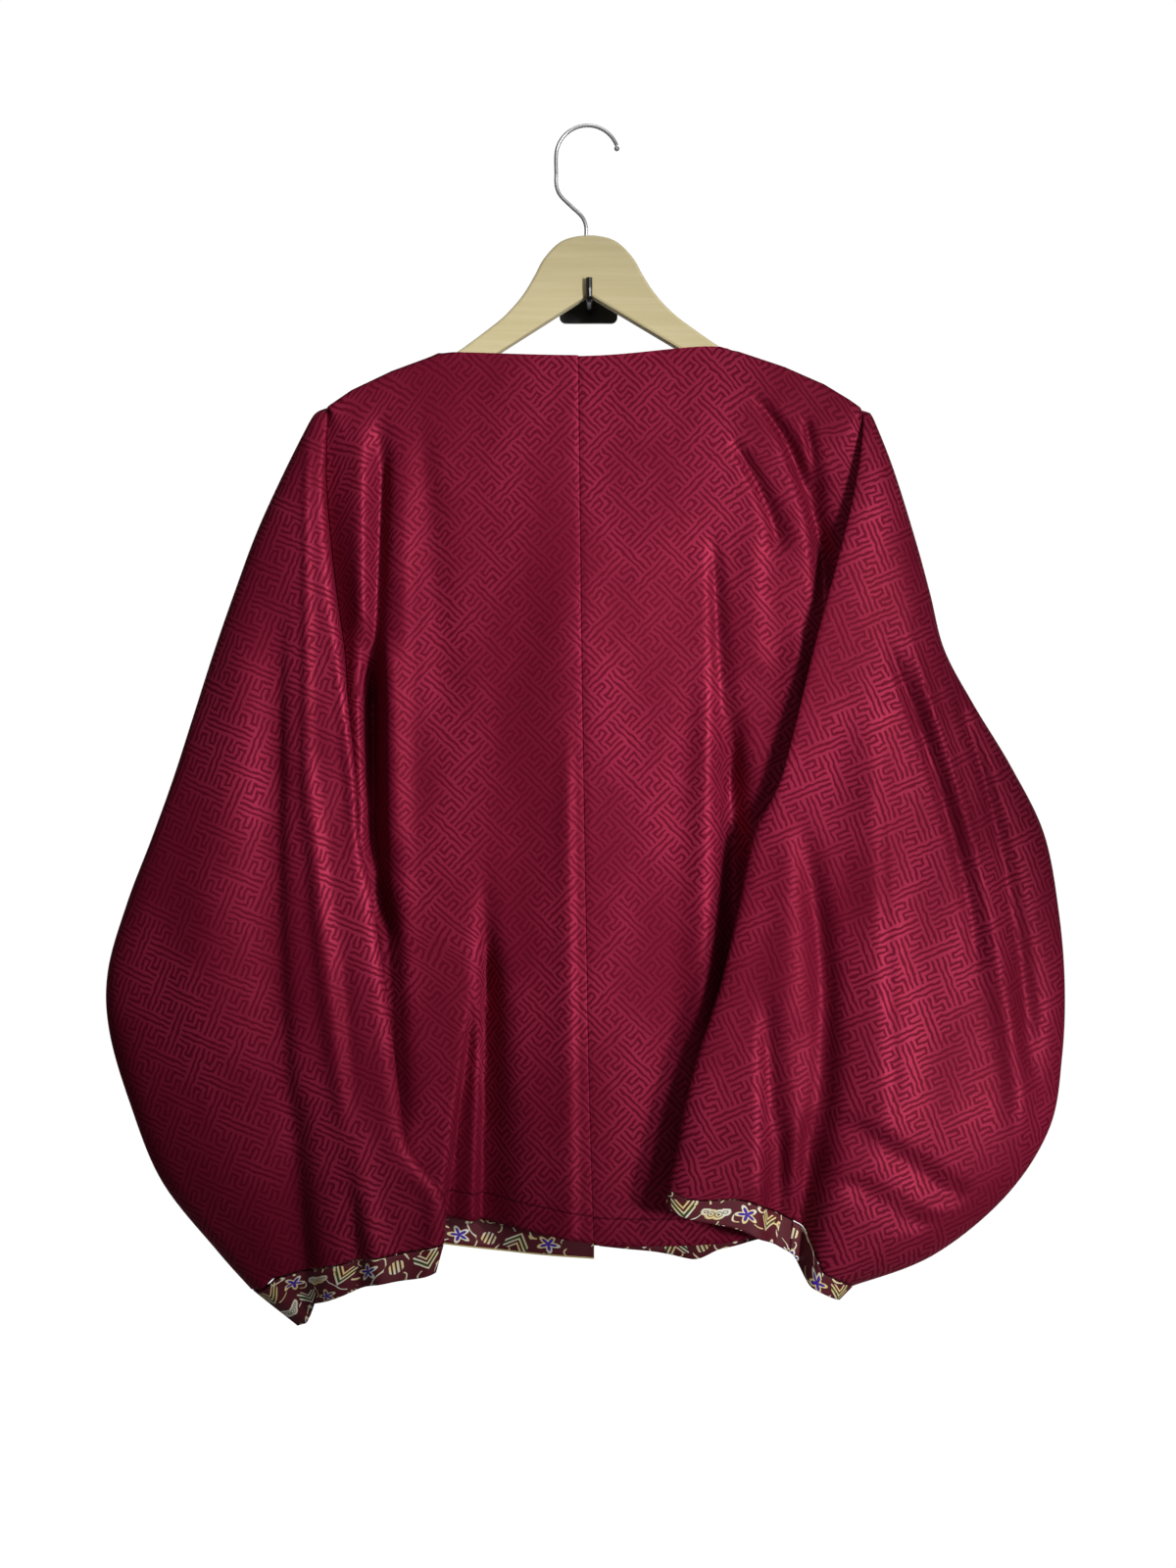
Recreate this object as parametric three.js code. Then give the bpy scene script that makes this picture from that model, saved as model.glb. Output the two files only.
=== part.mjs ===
// A collarless hanbok jacket of damask that hangs by its shoulders on a wooden hanger, whose arch hangs on
// a black wall hook. Millimetres. The jacket's back faces -Y, the wall is the plane y = 0, +X is the wearer's
// right, +Z is up.
// The origin is the middle of the hook plate's back face, where the plate is fixed to the wall.
import * as THREE from "three";

// ---- driving sizes
const CLOTH = 1.5; // wall of the damask
const PRINT = 1.1; // wall of the printed cuffs and hem facings
const SEAM = 0.3; // clear gap between two pieces along a seam
const ARMHOLE_GAP = 1.5; // the same gap where two walls meet at an angle
const HANG_Y = -40; // plane through the middle of the hanger and of the side seams
const SHOULDER_ROUND = 9; // drop over which the cloth turns over the shoulder line
const RIDGE = { rise: 1, blend: 12 }; // cloth over the arm of the hanger, and the run from the neck corner to there
const FACING_HEIGHT = 38; // printed hem facing inside each front
const FACING_LOW = 0.2; // its lower edge above the hem's
const TILT = 0.014; // the hanger hangs this much out of level, right arm up (mm per mm)
const SIDE_BEND = 22; // width over which a body panel turns to the side
const SIDE_START = 12; // share of that bend's run that lies above the shoulder tip
const BEND_RUN = 48; // height below the shoulder tip over which the bend grows to its full width
const NECK_BLEND = { start: 14, end: 2 }; // in from the neck corner, where its edge turns into the shoulder
const FOLD_START = { none: 4, full: 40 }; // drop below the shoulder line over which folds set in

// ---- small helpers
const clamp = (v, low = 0, high = 1) => Math.min(Math.max(v, low), high);
const mix = (a, b, t) => a + (b - a) * t;
const smooth = (low, high, v) => {
  const t = clamp((v - low) / (high - low));
  return t * t * (3 - 2 * t);
};
const bezier = (a, b, c, d, t) =>
  a * (1 - t) ** 3 + 3 * b * t * (1 - t) ** 2 + 3 * c * t * t * (1 - t) + d * t ** 3;

// Rows of numbers under named columns.
function table(columns, ...rows) {
  const names = columns.split(" ");
  return rows.map((row) => Object.fromEntries(names.map((name, i) => [name, row[i]])));
}

// A row of a table at a fractional index: every named column follows a Catmull-Rom curve.
function rowAt(rows, index) {
  const last = rows.length - 1;
  const i = Math.min(Math.floor(clamp(index, 0, last)), last - 1);
  const t = clamp(index, 0, last) - i;
  const pick = (k) => rows[clamp(k, 0, last)];
  const row = {};
  for (const key of Object.keys(rows[0])) {
    const [a, b, c, d] = [pick(i - 1)[key], pick(i)[key], pick(i + 1)[key], pick(i + 2)[key]];
    row[key] =
      b + 0.5 * t * (c - a + t * (2 * a - 5 * b + 4 * c - d + t * (3 * (b - c) + d - a)));
  }
  return row;
}

// Height of an edge at a distance x from the middle: straight runs between the rows of a table.
function edgeZ(edge, x) {
  const i = clamp(edge.findIndex((row) => row.x > x), 1, edge.length - 1);
  const k = x > edge.at(-1).x ? edge.length - 1 : i;
  const [a, b] = [edge[k - 1], edge[k]];
  return mix(a.z, b.z, clamp((x - a.x) / (b.x - a.x), -0.5, 1.5));
}

// ---- sleeves: one row for each section, from the shoulder tip down to the cuff seam.
// x is measured outwards from the middle of the jacket. "in" is the fold nearer the body, "out" the outer
// one. near and far are the depths of the wall towards the viewer and of the wall behind it, and farX is
// where the second is flat. seam is the back armhole seam, or the under seam below the armhole, and front is
// the depth of the front armhole seam. rise lifts the middle of the row, between the shares in steps.
const SECTION = "inX inZ outX outZ near far farX seamX seamY front rise";
const SLEEVES = {
  right: {
    underarm: 7,
    steps: [0.45, 0.7, 0.82],
    cuff: { inX: 63, inZ: -715, outX: 195, outZ: -791, rise: 16 },
    rows: table(
      SECTION,
      [212, -102, 219, -104, -43, -37, 214, 213, -41.2, -38.8, 0],
      [211, -114, 223, -113, -54, -29, 216, 214, -48, -32, 0],
      [204, -148, 237, -150, -66, -25, 222, 211, -54, -30, 0],
      [189, -203, 253.5, -203, -74, -22, 222, 206, -58, -29, 0],
      [177, -244, 265, -245, -77, -20, 222, 201, -60, -28, 0],
      [164, -290, 276, -288, -79, -18, 222, 196, -60, -28, 0],
      [152, -338, 299, -331, -81, -17, 222, 192, -58, -31, 0],
      [139, -388, 328, -379, -85, -15, 222, 188, -50, -40, 0],
      [126, -438, 353.5, -431, -87, -15, 220, 184, -66, -66, 0],
      [115, -493, 365, -492, -87, -15, 218, 176, -69, -69, 0],
      [103, -546, 369.5, -548, -88, -16, 218, 172, -69, -69, 0],
      [87, -598, 367.5, -603, -89, -18, 216, 169, -69, -69, 0],
      [77, -639, 357.5, -659, -92, -20, 214, 166, -65, -65, 6],
      [71, -673, 323, -712, -93, -24, 210, 163, -65, -65, 14],
      [67, -690, 267, -757, -94, -32, 202, 160, -65, -65, 21],
      [65, -701, 206, -780, -94, -40, 188, 156, -65, -65, 26],
    ),
  },
  left: {
    underarm: 8,
    steps: [0.5, 0.86, 0.93],
    cuff: { inX: 117, inZ: -764, outX: 226, outZ: -812, rise: 13 },
    rows: table(
      SECTION,
      [203, -100, 211, -103, -43, -37, 205, 204, -41.2, -38.8, 0],
      [201, -112, 217, -112, -53, -29, 206, 203, -48, -32, 0],
      [197, -155, 238, -154, -60, -25, 214, 199, -50, -30, 0],
      [192, -200, 258, -198, -63, -22, 216, 194, -50, -29, 0],
      [186, -246, 275, -244, -64, -20, 216, 189, -48, -28, 0],
      [181, -292, 291, -290, -65, -18, 216, 186, -46, -28, 0],
      [177, -343, 307, -340, -66, -17, 216, 184, -45, -29, 0],
      [174, -392, 322.5, -388, -68, -16, 216, 184, -45, -31, 0],
      [171, -437, 339, -434, -72, -15, 216, 184, -48, -38, 0],
      [165, -486, 358, -484, -77, -15, 214, 178, -65, -65, 0],
      [158, -531, 373, -537, -81, -16, 212, 172, -67, -67, 0],
      [151, -580, 372, -583, -83, -17, 210, 168, -67, -67, 0],
      [145, -628, 356, -639, -84, -19, 208, 166, -67, -67, 0],
      [138, -668, 331, -700, -85, -23, 206, 164, -67, -67, 2],
      [112, -706, 288, -754, -85, -30, 204, 150, -67, -67, 6],
      [111, -742, 262, -783, -85, -38, 200, 146, -67, -67, 6],
    ),
  },
};
// the sections that are drawn, closer where the form turns
const ROW_INDICES = [
  0, 0.04, 0.15, 0.4, 0.7, 1, 1.5, 2, 3, 4, 5, 6, 7, 8, 8.5, 9, 10, 11, 12, 13, 14, 14.5, 15,
];

// ---- body: distances outwards from the middle, one table for each edge
const POINT = "x z";
const BODIES = {
  right: {
    neckX: 106,
    lean: TILT,
    backHem: table(POINT, [0, -747], [30, -748.5], [68, -748.5], [105, -747], [144, -738], [165, -733]),
    frontHem: table(POINT, [8, -755.5], [38, -758.5], [77, -765], [84, -765.5], [95, -757], [165, -742]),
    side: table(POINT, [188, -388], [177, -415], [170, -550], [158, -750]),
    frontEdge: table(POINT, [6, -250], [8.5, -760]),
  },
  left: {
    neckX: 113,
    lean: -TILT,
    backHem: table(POINT, [0, -746], [40, -739], [76, -733.5], [110, -729.5], [170, -724]),
    frontHem: table(POINT, [-6, -765], [31, -762.5], [77, -758.5], [112, -752.5], [170, -740]),
    side: table(POINT, [184, -437], [174, -465], [168, -600], [162, -750]),
    frontEdge: table(POINT, [-4, -250], [-4.5, -760]),
  },
};
const SHOULDER = table(POINT, [90, -49], [110, -56], [151, -70], [183, -84.2], [203, -97.2], [213, -105]);
const NECK_MID_Z = -61; // back neck edge at the middle
const FRONT_NECK_Z = -250; // where the two fronts meet
const CENTRE_SEAM = table(POINT, [-8, -61], [-5, -314], [0, -620], [4, -748]);
// depth of the hanging back and front, from the shoulder down
const BODY_DEPTH = table(
  "z back front",
  [52, -50, -30], [150, -54, -28], [300, -57.5, -25], [450, -59, -23], [600, -58, -22], [770, -53, -24],
);

// ---- folds: a trough (depth above 0) or a ridge (below 0) from its top to its end, in the jacket's own x.
// left and right are its half widths at the end, narrow is their share at the top, bow bends it sideways.
const FOLD = "topX topZ endX endZ left right narrow depth bow";
const BACK_FOLDS = table(
  FOLD,
  [-160, -105, -168, -330, 8, 9, 0.8, 8, 0],
  [-168, -290, -166, -480, 9, 11, 0.8, 14, 0],
  [-156, -470, -146, -640, 10, 12, 0.8, 8, 0],
  [-128, -110, -112, -310, 12, 14, 0.6, 5, 0],
  [-80, -455, -82, -745, 14, 24, 0.3, 5, 0],
  [-14, -160, -10, -735, 34, 80, 0.9, -7, 0],
  [128, -90, 183, -225, 8, 8, 0.6, 8, 14],
  [112, -330, 116, -560, 12, 14, 0.5, 10, 0],
  [92, -300, 84, -640, 14, 14, 0.6, -5, 0],
);
const FRONT_FOLDS = table(
  FOLD,
  [-150, -110, -120, -730, 14, 22, 0.4, -6, -6],
  [158, -110, 110, -730, 22, 14, 0.4, -6, 8],
  [70, -300, 60, -740, 18, 16, 0.6, 4, 3],
  [-64, -320, -70, -740, 16, 18, 0.6, 4, -4],
);
const SLEEVE_FOLDS = table(
  FOLD,
  [216, -335, 224, -640, 26, 24, 0.6, -5, 0],
  [160, -420, 146, -790, 14, 13, 0.6, 12, 26],
  [150, -420, 148, -560, 14, 14, 0.7, -5, 0],
  [140, -500, 144, -745, 10, 12, 0.4, 9, 4],
  [243, -270, 330, -620, 12, 10, 0.5, -5, 6],
  [-196, -130, -184, -400, 10, 9, 0.8, 8, 0],
  [-213, -370, -153, -790, 10, 12, 0.5, -7, -10],
  [-236, -250, -214, -795, 30, 10, 0.6, 7, -12],
  [-262, -250, -296, -560, 26, 26, 0.7, -4, 0],
  [-126, -690, -125, -800, 17, 8, 0.8, 9, 0],
);

function foldDepth(folds, x, z) {
  let depth = 0;
  for (const fold of folds) {
    const down = (fold.topZ - z) / (fold.topZ - fold.endZ);
    const along = clamp(down);
    const centre = mix(fold.topX, fold.endX, along) + fold.bow * 4 * along * (1 - along);
    const width = (x < centre ? fold.left : fold.right) * mix(fold.narrow, 1, along);
    const fade = smooth(-0.04, 0.22, down) * (1 - smooth(1, 1.25, down));
    depth += fold.depth * fade * Math.exp(-(((x - centre) / width) ** 2));
  }
  return depth;
}

// ---- sections of a sleeve
const RETURN_STEPS = 6; // from the seam round the inner fold
const NEAR_STEPS = 14; // from there to the outer fold, on the wall towards the viewer
const FAR_STEPS = 10; // the same on the wall behind
const FOLD_TURN = { most: 14, share: 0.3 }; // from the inner fold to where the wall lies flat
const QUARTER = Math.PI / 2;

// Height of a sleeve's row at a distance x from the middle.
function rowZ(sleeve, row, x) {
  const t = (x - row.inX) / (row.outX - row.inX);
  const [start, top, end] = sleeve.steps;
  const lift = row.rise * smooth(0, start, t) * (1 - smooth(top, end, t));
  return mix(row.inZ, row.outZ, t) + lift;
}

// The wall towards the viewer: from the seam round the inner fold, then flat and round to the outer fold.
function sleeveNear(sleeve, row, index, sign) {
  const closed = smooth(sleeve.underarm - 0.2, sleeve.underarm + 0.8, index);
  const startX = row.inX + Math.min(FOLD_TURN.most, FOLD_TURN.share * (row.outX - row.inX));
  const foldX = row.inX - (row.seamX + startX - 2 * row.inX) / 6;
  const turnX = mix(row.seamX + 1, foldX, closed);
  const turnY = mix(mix(row.seamY, row.near, 0.55), row.seamY, closed);
  const edgeY = HANG_Y - SEAM / 2;
  const points = [];
  for (let i = 0; i < RETURN_STEPS; i++) {
    const t = i / RETURN_STEPS;
    const x = bezier(row.seamX, turnX, foldX, startX, t);
    points.push([x, bezier(row.seamY, turnY, row.near, row.near, t)]);
  }
  for (let i = 0; i <= NEAR_STEPS; i++) {
    const angle = QUARTER * (i / NEAR_STEPS);
    const x = startX + (row.outX - startX) * Math.sin(angle);
    points.push([x, edgeY + (row.near - edgeY) * Math.cos(angle)]);
  }
  return points.map(([x, y], i) => {
    const z = rowZ(sleeve, row, x);
    const pastFold = smooth(RETURN_STEPS - 1, RETURN_STEPS + 2, i);
    const onWall = pastFold * (1 - smooth(0.8, 1, (i - RETURN_STEPS) / NEAR_STEPS));
    return new THREE.Vector3(sign * x, y + onWall * foldDepth(SLEEVE_FOLDS, sign * x, z), z);
  });
}

// The wall behind: from the outer fold to the front armhole seam, or to the under seam below the armhole.
function sleeveFar(sleeve, row, index, sign) {
  const endX = row.seamX + SEAM;
  const edgeY = HANG_Y + SEAM / 2;
  const points = [];
  for (let i = 0; i < FAR_STEPS; i++) {
    const angle = QUARTER * (i / FAR_STEPS);
    const x = row.farX + (row.outX - row.farX) * Math.cos(angle);
    points.push([x, edgeY + (row.far - edgeY) * Math.sin(angle)]);
  }
  const handle = (row.farX - endX) * 0.55;
  for (let i = 0; i <= RETURN_STEPS; i++) {
    const t = i / RETURN_STEPS;
    const x = bezier(row.farX, row.farX - handle, endX + handle, endX, t);
    points.push([x, bezier(row.far, row.far, row.front, row.front, t)]);
  }
  return points.map(([x, y]) => new THREE.Vector3(sign * x, y, rowZ(sleeve, row, x)));
}

const sleeveRows = (sleeve, section, sign) =>
  ROW_INDICES.map((index) => section(sleeve, rowAt(sleeve.rows, index), index, sign));

// The cuff continues the sleeve's last section down to its own edge.
const CUFF_STEPS = 2;
function cuffRows(sleeve, section, sign) {
  const last = sleeve.rows.at(-1);
  const rows = [];
  for (let i = 0; i <= CUFF_STEPS; i++) {
    const t = mix(0.05, 1, i / CUFF_STEPS);
    const row = { ...last };
    for (const key of Object.keys(sleeve.cuff)) row[key] = mix(last[key], sleeve.cuff[key], t);
    row.seamX = last.seamX + (row.inX - last.inX);
    row.farX = last.farX + (row.outX - last.outX);
    rows.push(section(sleeve, row, sleeve.rows.length - 1, sign));
  }
  return rows;
}

// ---- body panels
const BELOW_ARMHOLE_STEPS = 9;
const NECK_COLUMNS = 7;
const CHEST_COLUMNS = 5;
const EDGE_COLUMNS = 4;
const SIDE_HEM_X = 165; // where the back's hem meets the side seam

// The rows of one side of the body: where each meets the armhole or the side seam.
function bodyEdges(side) {
  const sleeve = SLEEVES[side];
  const body = BODIES[side];
  const edges = ROW_INDICES.filter((index) => index <= sleeve.underarm).map((index) => {
    const row = rowAt(sleeve.rows, index);
    const [x, z] = [row.seamX - ARMHOLE_GAP, rowZ(sleeve, row, row.seamX)];
    return { x, z, back: row.seamY, front: row.front };
  });
  const under = edges.at(-1);
  const hemZ = edgeZ(body.backHem, SIDE_HEM_X);
  for (let i = 1; i <= BELOW_ARMHOLE_STEPS; i++) {
    const t = i / BELOW_ARMHOLE_STEPS;
    const z = mix(under.z, hemZ, t);
    const join = smooth(0, 0.22, t);
    edges.push({
      x: sideX(body, z) - ARMHOLE_GAP,
      z,
      back: mix(under.back, HANG_Y - SEAM / 2, join),
      front: mix(under.front, HANG_Y + SEAM / 2, join),
    });
  }
  return edges;
}

const flip = (edge) => edge.map((row) => ({ x: -row.z, z: row.x }));
const sideX = (body, z) => edgeZ(flip(body.side), -z);
const centreX = (z) => edgeZ(flip(CENTRE_SEAM), -z);

function shoulderZ(body, x) {
  return edgeZ(SHOULDER, x) + body.lean * x;
}

function backTopZ(body, x) {
  if (x >= body.neckX) return shoulderZ(body, x);
  return mix(NECK_MID_Z, shoulderZ(body, body.neckX), smooth(-0.1, 1, x / body.neckX) ** 1.3);
}

function frontTopZ(body, x) {
  if (x >= body.neckX) return shoulderZ(body, x);
  return mix(FRONT_NECK_Z, shoulderZ(body, body.neckX), clamp(x / body.neckX) ** 0.8);
}

function depthAt(z) {
  const i = clamp(BODY_DEPTH.findIndex((row) => row.z > -z), 1, BODY_DEPTH.length - 1);
  const [a, b] = [BODY_DEPTH[i - 1], BODY_DEPTH[i]];
  const t = clamp((-z - a.z) / (b.z - a.z));
  return { back: mix(a.back, b.back, t), front: mix(a.front, b.front, t) };
}

// Shares of the width of a row: the neck, the chest and the bend to the side.
function bodyShares(neckShare, bendShare) {
  const shares = [];
  for (let i = 0; i < NECK_COLUMNS; i++) shares.push(neckShare * (i / NECK_COLUMNS));
  for (let i = 0; i < CHEST_COLUMNS; i++) shares.push(mix(neckShare, bendShare, i / CHEST_COLUMNS));
  for (let i = 0; i <= EDGE_COLUMNS; i++) shares.push(mix(bendShare, 1, i / EDGE_COLUMNS));
  return shares;
}

function bodyRows(side, face, sign) {
  const body = BODIES[side];
  const isBack = face === "back";
  const topZ = isBack ? backTopZ : frontTopZ;
  const hem = isBack ? body.backHem : body.frontHem;
  const folds = isBack ? BACK_FOLDS : FRONT_FOLDS;
  const middleY = HANG_Y + (isBack ? -SEAM / 2 : SEAM / 2);
  const innerX = (z) => (isBack ? sign * centreX(z) : edgeZ(flip(body.frontEdge), -z)) + SEAM / 2;
  const edges = bodyEdges(side);
  const [top, bottom] = [edges[0], edges.at(-1)];
  const tipZ = shoulderZ(body, top.x);
  const rows = edges.map((edge) => {
    const down = clamp((tipZ - edge.z) / (tipZ - bottom.z));
    const bend = SIDE_BEND * smooth(0, BEND_RUN + SIDE_START, top.z - edge.z + SIDE_START);
    const shares = bodyShares(body.neckX / top.x, (edge.x - bend) / edge.x);
    return shares.map((share, i) => {
      const z = mix(topZ(body, share * top.x), edgeZ(hem, share * bottom.x), down);
      const x = mix(innerX(z), edge.x, share);
      const drop = shoulderZ(body, Math.max(share * top.x, body.neckX)) - z;
      const round = (1 - (1 - clamp(drop / SHOULDER_ROUND)) ** 4) ** 0.25;
      const onShoulder = smooth(body.neckX - NECK_BLEND.start, body.neckX - NECK_BLEND.end, share * top.x);
      const wall = depthAt(z)[face];
      const t = clamp((i - NECK_COLUMNS - CHEST_COLUMNS) / EDGE_COLUMNS);
      const bent = bezier(wall, wall, mix(edge[face], wall, 0.3), edge[face], t);
      const fold = foldDepth(folds, sign * x, z) * (1 - smooth(0.2, 1, t));
      const y = mix(bent, middleY + (bent - middleY) * round, onShoulder);
      return new THREE.Vector3(sign * x, y + fold * smooth(FOLD_START.none, FOLD_START.full, drop), z);
    });
  });
  return [ridgeRow(rows[0], body, middleY), ...rows];
}

// The cloth lies over the hanger's arm: its highest row runs along the middle plane, out from the neck corner.
function ridgeRow(row, body, middleY) {
  return row.map((point) => {
    const closed = smooth(body.neckX, body.neckX + RIDGE.blend, Math.abs(point.x));
    return new THREE.Vector3(point.x, mix(point.y, middleY, closed), point.z + RIDGE.rise);
  });
}

// ---- turning a grid of points into a solid wall
function normalsOf(rows) {
  const at = (i, j) => rows[clamp(i, 0, rows.length - 1)][clamp(j, 0, rows[0].length - 1)];
  return rows.map((row, i) =>
    row.map((_, j) => {
      const down = at(i + 1, j).clone().sub(at(i - 1, j));
      const across = at(i, j + 1).clone().sub(at(i, j - 1));
      const normal = down.cross(across);
      // rims on the middle plane face each other squarely
      if (Math.abs(at(i, j).y - HANG_Y) < SEAM) normal.y = 0;
      return normal.normalize();
    }),
  );
}

function wallGeometry(rows, thickness, lift = 0) {
  const normals = normalsOf(rows);
  const [high, wide] = [rows.length, rows[0].length];
  const positions = [];
  for (const offset of [lift + thickness / 2, lift - thickness / 2])
    for (const [i, row] of rows.entries())
      for (const [j, point] of row.entries())
        positions.push(...point.clone().addScaledVector(normals[i][j], offset).toArray());
  const outer = (i, j) => i * wide + j;
  const inner = (i, j) => high * wide + i * wide + j;
  const index = [];
  const quad = (a, b, c, d) => index.push(a, b, c, a, c, d);
  for (let i = 0; i + 1 < high; i++)
    for (let j = 0; j + 1 < wide; j++) {
      quad(outer(i, j), outer(i + 1, j), outer(i + 1, j + 1), outer(i, j + 1));
      quad(inner(i, j), inner(i, j + 1), inner(i + 1, j + 1), inner(i + 1, j));
    }
  for (let j = 0; j + 1 < wide; j++) {
    quad(outer(0, j), outer(0, j + 1), inner(0, j + 1), inner(0, j));
    quad(outer(high - 1, j + 1), outer(high - 1, j), inner(high - 1, j), inner(high - 1, j + 1));
  }
  for (let i = 0; i + 1 < high; i++) {
    quad(outer(i + 1, 0), outer(i, 0), inner(i, 0), inner(i + 1, 0));
    quad(outer(i, wide - 1), outer(i + 1, wide - 1), inner(i + 1, wide - 1), inner(i, wide - 1));
  }
  const geometry = new THREE.BufferGeometry();
  geometry.setAttribute("position", new THREE.Float32BufferAttribute(positions, 3));
  geometry.setIndex(index);
  return geometry;
}

// ---- materials
const damask = new THREE.MeshStandardMaterial({ color: 0x7a1230, roughness: 0.45, metalness: 0 });
const print = new THREE.MeshStandardMaterial({ color: 0x5a0f1c, roughness: 0.55, metalness: 0 });
const beech = new THREE.MeshStandardMaterial({ color: 0xd8c79a, roughness: 0.6, metalness: 0 });
const steel = new THREE.MeshStandardMaterial({ color: 0xc8c8c8, roughness: 0.2, metalness: 1 });
const blackPaint = new THREE.MeshStandardMaterial({ color: 0x0a0a0c, roughness: 0.35, metalness: 0 });

const jacket = new THREE.Group();
function add(group, name, geometry, material) {
  const mesh = new THREE.Mesh(geometry, material);
  mesh.name = name;
  group.add(mesh);
  return mesh;
}

// Rows run down and columns outwards, so the wearer's left side is turned over to keep its faces outward.
const across = (rows, turn) => (turn > 0 ? rows : rows.map((row) => [...row].reverse()));

const SIDES = Object.entries({ right: 1, left: -1 });
for (const [side, sign] of SIDES) {
  const sleeve = SLEEVES[side];
  for (const [face, turn] of Object.entries({ back: sign, front: -sign })) {
    const panel = across(bodyRows(side, face, sign), turn);
    add(jacket, `${face}_${side}`, wallGeometry(panel, CLOTH), damask);
  }
  for (const [face, section] of Object.entries({ back: sleeveNear, front: sleeveFar })) {
    const wall = across(sleeveRows(sleeve, section, sign), sign);
    const band = across(cuffRows(sleeve, section, sign), sign);
    add(jacket, `sleeve_${side}_${face}`, wallGeometry(wall, CLOTH), damask);
    add(jacket, `cuff_${side}_${face}`, wallGeometry(band, PRINT), print);
  }
}

// The printed facing lies on the inside of each front along its hem.
function facingRows(side, sign) {
  const panel = bodyRows(side, "front", sign);
  const [above, hem] = panel.slice(-2);
  const columns = hem.slice(0, -EDGE_COLUMNS);
  const point = (j, up) => hem[j].clone().lerp(above[j], up / hem[j].distanceTo(above[j]));
  return [FACING_HEIGHT, FACING_HEIGHT / 2, FACING_LOW].map((up) => columns.map((_, j) => point(j, up)));
}
for (const [side, sign] of SIDES) {
  const rows = across(facingRows(side, sign), sign);
  add(jacket, "hem_facing_" + side, wallGeometry(rows, PRINT, CLOTH / 2 + SEAM + PRINT / 2), print);
}

// ---- hanger: a flat beech board with a hump in the middle and two arms under the shoulders
const WOOD = { thickness: 13, bevel: 2, topDrop: 3.7, armHeight: 20, tipX: 200, tipRound: 5 };
const ARCH = { footX: 73, footZ: -57.5, topZ: -14.3, halfWidth: 3, lift: 2.2 }; // the cut under the hump
const ARM_SAG = { x: 120, z: -83 }; // draws the arm's underside into its curve
const ARM_XS = [110, 130, 151, 183];
const HUMP = table(POINT, [0, 34], [20, 30], [34, 17], [42, 3], [50, -10], [60, -22], [74, -34.5]);

function hangerGeometry() {
  const arm = ARM_XS.map((x) => ({ x, z: edgeZ(SHOULDER, x) - WOOD.topDrop }));
  const half = [...HUMP, ...arm].map((row) => new THREE.Vector2(row.x, row.z));
  const top = [...half.map((p) => new THREE.Vector2(-p.x, p.y)).reverse(), ...half.slice(1)];
  const [x, high, round] = [WOOD.tipX, edgeZ(SHOULDER, WOOD.tipX) - WOOD.topDrop, WOOD.tipRound];
  const low = high - WOOD.armHeight;
  const shape = new THREE.Shape();
  shape.moveTo(-x, high);
  shape.splineThru(top);
  shape.lineTo(x, high);
  shape.bezierCurveTo(x + round, high - round, x + round, low + round / 2, x - 2, low);
  shape.quadraticCurveTo(ARM_SAG.x, ARM_SAG.z, ARCH.footX, ARCH.footZ);
  shape.lineTo(ARCH.halfWidth, ARCH.topZ);
  shape.quadraticCurveTo(0, ARCH.topZ + ARCH.lift, -ARCH.halfWidth, ARCH.topZ);
  shape.lineTo(-ARCH.footX, ARCH.footZ);
  shape.quadraticCurveTo(-ARM_SAG.x, ARM_SAG.z, -x + 2, low);
  shape.bezierCurveTo(-x - round, low + round / 2, -x - round, high - round, -x, high);
  const geometry = new THREE.ExtrudeGeometry(shape, {
    depth: WOOD.thickness - 2 * WOOD.bevel,
    bevelThickness: WOOD.bevel,
    bevelSize: WOOD.bevel,
    bevelOffset: -WOOD.bevel,
    bevelSegments: 2,
    curveSegments: 5,
  });
  geometry.translate(0, 0, -WOOD.thickness / 2 + WOOD.bevel);
  geometry.rotateX(Math.PI / 2);
  return geometry;
}

// ---- round rods along a path
const ringOf = (radius, sides) => {
  const shape = new THREE.Shape();
  for (let i = 0; i < sides; i++) {
    const angle = (2 * Math.PI * i) / sides;
    const [x, y] = [radius * Math.cos(angle), radius * Math.sin(angle)];
    if (i) shape.lineTo(x, y);
    else shape.moveTo(x, y);
  }
  return shape;
};
const rod = (points, radius, steps, sides = 10) =>
  new THREE.ExtrudeGeometry(ringOf(radius, sides), {
    extrudePath: new THREE.CatmullRomCurve3(points, false, "centripetal"),
    steps,
    bevelEnabled: false,
  });

// The steel hook: a short stem, a bend to the left, then most of a circle over the top.
const WIRE = { radius: 1.5, footZ: 34.6 };
const BOW = { x: 0.5, z: 96, radius: 24.5, lastAngle: 6, step: 14.5 };
const STEM = table(
  POINT,
  [-1.4, WIRE.footZ], [-1.4, 42], [-4, 49], [-13, 58], [-21.5, 67], [-24, 74], [-24, 84],
);
function hookPoints() {
  const points = STEM.map(({ x, z }) => new THREE.Vector3(x, 0, z));
  for (let angle = 180; angle > BOW.lastAngle; angle -= BOW.step) {
    const turn = THREE.MathUtils.degToRad(angle);
    const [x, z] = [BOW.x + BOW.radius * Math.cos(turn), BOW.z + BOW.radius * Math.sin(turn)];
    points.push(new THREE.Vector3(x, 0, z));
  }
  return points;
}

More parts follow.
